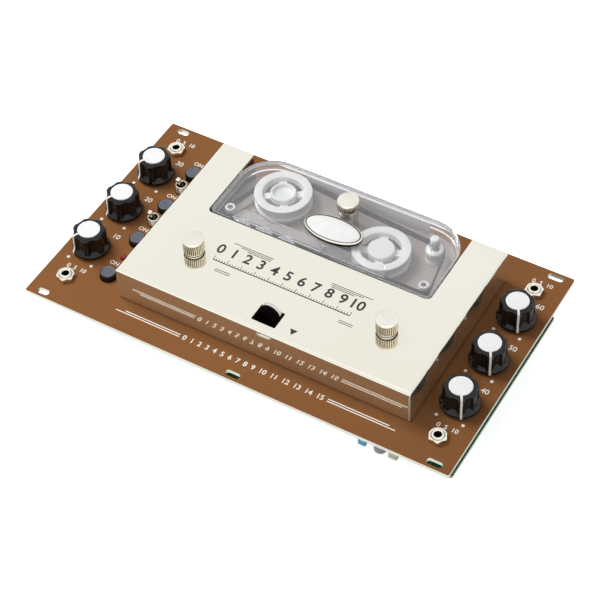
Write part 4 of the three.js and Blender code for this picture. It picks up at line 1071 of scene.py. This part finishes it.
def board():
    z0 = BOARD_UNDER

    def at(*shares):
        """Places as shares of the panel's size."""
        return [(sx * PANEL_W, sy * PANEL_H) for sx, sy in shares]

    def block(shape, x, y, half_x, half_y, low, high):
        shape.box(x - half_x, x + half_x, y - half_y, y + half_y, z0 + low, z0 + high)

    outline = rounded_box(6, PANEL_W - 2.2, 8.2, PANEL_H - 15.6, 1, 5)
    holes = [circle(DECK, CAPSTAN_Y, 3.9, 40), circle(DECK + 32, 33.5, 3.3, 40)]
    plate = Shape().slab([outline] + holes, z0, BOARD_TOP)
    board_piece("board_plate", plate, "board", replaces="circuit_board", bevel=0.1)

    wide = at((0.89, 0.27), (0.89, 0.37), (0.27, 0.79), (0.27, 0.7))
    narrow = at((0.82, 0.102), (0.81, 0.72), (0.81, 0.66))
    cans = Shape()
    for group, r, h in ((wide, 4, 9.5), (narrow, 3.15, 8.2)):
        end = z0 - h
        sleeve = [
            (0, z0 - GAP), (r, z0 - GAP), (r, z0 - 0.9, 0.15), (r - 0.18, z0 - 1.2, 0.1),
            (r, z0 - 1.5, 0.15), (r, end + 0.1, 0.4), (r - 0.5, end, 0.2), (r - 0.9, end + 0.02),
        ]
        for x, y in group:
            cans.lathe(sleeve, x, y, 56, 0)
            cans.lathe([(r - 0.9, end + 0.04), (0, end + 0.04)], x, y, 56, 1)
    board_piece("capacitor_cans", cans, ["sleeve", "solder"], angle=40)

    films = Shape()
    for x, y in at((0.783, 0.107), (0.8, 0.49), (0.8, 0.58), (0.27, 0.47)):
        films.slab([box_round(x, y, 1.9, 3.6, 0.25, 3)], z0 - 7.6, z0 - GAP)
    board_piece("film_capacitors", films, "blue", bevel=0.3)
    relay = Shape().slab([rounded_box(188.9, 193.3, 9.0, 12.6, 0.4, 4)], z0 - 6.0, z0 - GAP)
    board_piece("cream_relay", relay, "cream", bevel=0.25)

    chips, legs = Shape(), Shape()
    for x, y in at((0.89, 0.56), (0.89, 0.76), (0.21, 0.2)):
        block(chips, x, y, 3.1, 9.5, -3.4, -0.5)
        for i in range(7):
            for side in (-1, 1):
                py = y + (i - 3) * 2.54
                block(legs, x + side * 3.4, py, 0.35, 0.3, -2.2, -1.9)
                block(legs, x + side * 3.6, py, 0.15, 0.3, -1.95, -0.01)
    for x, y in at((0.19, 0.37), (0.19, 0.53)):
        block(chips, x, y, 6.2, 6.2, -2.2, -0.4)
        for i in range(9):
            for side in (-1, 1):
                t = (i - 4) * 1.27
                block(legs, x + side * 6.55, y + t, 0.4, 0.2, -1.2, -0.95)
                block(legs, x + t, y + side * 6.55, 0.2, 0.4, -1.2, -0.95)
    board_piece("chip_bodies", chips, "matt_black", bevel=0.2)
    board_piece("chip_legs", legs, "solder")

    ((x, y),) = at((0.21, 0.69))
    outer, inner = (
        [(x - a, y - b), (x + a, y - b), (x + a, y + b), (x - a, y + b)]
        for a, b in ((12, 4.3), (11, 3.3))
    )
    shroud = Shape().slab([outer, inner], z0 - 8, z0 - 1)
    block(shroud, x, y, 12, 4.3, -1, -0.01)
    board_piece("power_shroud", shroud, "matt_black", bevel=0.15)
    pins = Shape()
    for i in range(8):
        for side in (-1, 1):
            px, py = x + (i - 3.5) * 2.54, y + side * 1.27
            pins.skin([
                [(px - w, py - w, z), (px + w, py - w, z), (px + w, py + w, z), (px - w, py + w, z)]
                for z, w in ((z0 - 7, 0.16), (z0 - 6.7, 0.32), (z0 - 1, 0.32))
            ])
    board_piece("power_pins", pins, "gold")

    switches = Shape()
    for y in BUTTON_Y:
        body = box_round(BUTTON_X, y, 3.1, 3.1, 0.4)
        switches.slab([body, circle(BUTTON_X, y, 2.0, 32)], BOARD_TOP + 0.01, -5.0)
    board_piece("button_switches", switches, "matt_black", bevel=0.15)
    solder_joints()


def solder_joints():
    dots = Shape()

    def joint(x, y, r=0.85):
        profile = [(0, -0.75), (0.3, -0.7), (0.45, -0.35), (r, -0.08), (r + 0.15, -0.005)]
        dots.lathe([(d, BOARD_UNDER + z) for d, z in profile], x, y, 14)

    far_end = PANEL_H - 17
    for x in KNOB_X:
        for y in KNOB_Y:
            for i in (-1, 0, 1):
                joint(x - 4.0, y + i * 2.6 - 0.4)
        for y in JACK_Y:
            for i, j in ((-1, -3.4), (1, -3.4), (0, 3.8)):
                if y + j < far_end:
                    joint(x + i * 2.2, y + j)
    for y in BUTTON_Y:
        for i in (-1, 1):
            for j in (-1, 1):
                joint(BUTTON_X + i * 3.2, y + j * 2.2, 0.7)
    for y in TOGGLE_Y:
        for i in (-1, 0, 1):
            joint(BUTTON_X, y + i * 4.0, 0.9)
    board_piece("solder_joints", dots, "solder", angle=60)


# Solids that keep their shape and only get a finish

POTS = [f"pot_{side}_{k}" for side in SIDES for k in (1, 2, 3)]
for look, bevel, nodes in (
    ("matt_black", 0.15, ["cassette_well"]),
    ("zinc", 0.1, ["head_carriage", "pinch_arm"]),
    ("zinc", 0.12, POTS),
    ("zinc", 0.2, ["motor", "rear_bridge"]),
    ("lever", 0.2, ["release_lever"]),
    ("turned", 0.15, ["erase_head", "record_head", "playback_head"]),
    ("turned", 0.0, ["capstan"]),
    ("rubber", 0.1, ["pinch_roller", "drive_belt"]),
    ("brass", 0.12, ["capstan_bearing", "flywheel", "motor_pulley"]),
    ("liner", 0.0, ["liner_strip"]),
):
    repaint(nodes, look, bevel)

front_panel()
knobs()
jacks()
buttons()
toggles()
lamp()
tape_cover()
for side, x in zip(SIDES, SCREW_X):
    thumb_screw(f"cover_screw_{side}", x, SCREW_Y, 19.95, 20.85, 4.35, 10.2)
thumb_screw("cassette_screw", DECK, CASSETTE_SCREW_Y, 10.0, 22.7, 4.6, 4.4)
cassette()
cassette_contents()
prints()
board()


# Floor, light and camera

WHITE = (1, 1, 1, 1)


def floor_plane():
    half, z = 6.0, -0.0002
    corners = [(-half, -half, z), (half, -half, z), (half, half, z), (-half, half, z)]
    mesh = bpy.data.meshes.new("floor")
    mesh.from_pydata(corners, [], [(0, 1, 2, 3)])
    floor = new_object("floor", mesh)
    look = Look("floor_white", (255, 255, 255), 0.9, Specular_IOR_Level=0.0)
    path = look.node("LightPath").outputs
    seen = look.calc("MULTIPLY", path["Is Camera Ray"], 0.8)
    mirrored = look.calc("MAXIMUM", path["Is Glossy Ray"], path["Is Transmission Ray"])
    glow = look.calc("MULTIPLY_ADD", mirrored, 0.3, seen)
    look.set(Base_Color=(0.88, 0.88, 0.88, 1), Emission_Color=WHITE, Emission_Strength=glow)
    mesh.materials.append(look.mat)


def studio():
    world = bpy.data.worlds.new("studio")
    bpy.context.scene.world = world
    world.use_nodes = True
    world.node_tree.nodes.clear()
    w = Nodes(world.node_tree)
    path = w.node("LightPath").outputs
    where = w.node("TexCoord").outputs["Generated"]

    def toward(way, a, b, low, high):
        """Runs from low to high as a ray turns towards way."""
        lean = w.node("VectorMath", {0: where, 1: way}, operation="DOT_PRODUCT")
        return w.remap(lean.outputs["Value"], low, high, a, b)

    # Mirrored rays find the white room above and behind, and a dimmer one low in front
    room = toward((-0.2, 0.45, 0.87), -0.6, -0.3, 0.35, 1.0)
    # A brighter window over the near side, which the cover's bend and the knurls pick up
    window = toward((0.42, -0.66, 0.62), 0.6, 0.8, 0.0, 0.25)
    bright = w.calc("MAXIMUM", w.calc("ADD", room, window), path["Is Camera Ray"])
    sharp = path["Is Camera Ray"]
    for other in ("Is Glossy Ray", "Is Transmission Ray"):
        sharp = w.calc("MAXIMUM", sharp, path[other])
    soft = w.node("Background", {"Color": WHITE, "Strength": 0.38})
    white = w.node("Background", {"Color": WHITE, "Strength": bright})
    w.node("OutputWorld", {"Surface": w.blend(sharp, soft, white)})


def area(name, place, size, power):
    """A square lamp that looks at the part."""
    data = bpy.data.lights.new(name, "AREA")
    data.shape = "SQUARE"
    data.size = size
    data.energy = power
    obj = new_object(name, data)
    obj.location = place
    way = Vector((0, 0, 0.03)) - Vector(place)
    obj.rotation_euler = way.to_track_quat("-Z", "Y").to_euler()
    obj.visible_glossy = False


def camera():
    """Place and turn as solved from the photograph, 600 pixels wide."""
    focal_px, photo_px, sensor = 1887.7529, 600, 36
    data = bpy.data.cameras.new("camera")
    data.sensor_width = sensor
    data.lens = focal_px * sensor / photo_px
    data.clip_end = 20
    obj = new_object("camera", data)
    right = Vector((0.8636121, 0.5031595, -0.0316980))
    down = Vector((0.3599246, -0.6593507, -0.6600841))
    ahead = Vector((-0.3530276, 0.5586477, -0.7505227))
    turn = Matrix((right, -down, -ahead)).transposed()
    place = placed((426.399, -433.605, 657.994))
    obj.matrix_world = Matrix.Translation(place) @ turn.to_4x4()
    bpy.context.scene.camera = obj


floor_plane()
studio()
area("key", (-0.75, 0.1, 1.15), 0.55, 11.6)
area("fill", (-0.4, -1.0, 0.8), 1.0, 2.9)
camera()
bpy.context.scene.view_settings.view_transform = "Standard"

bpy.context.view_layer.update()
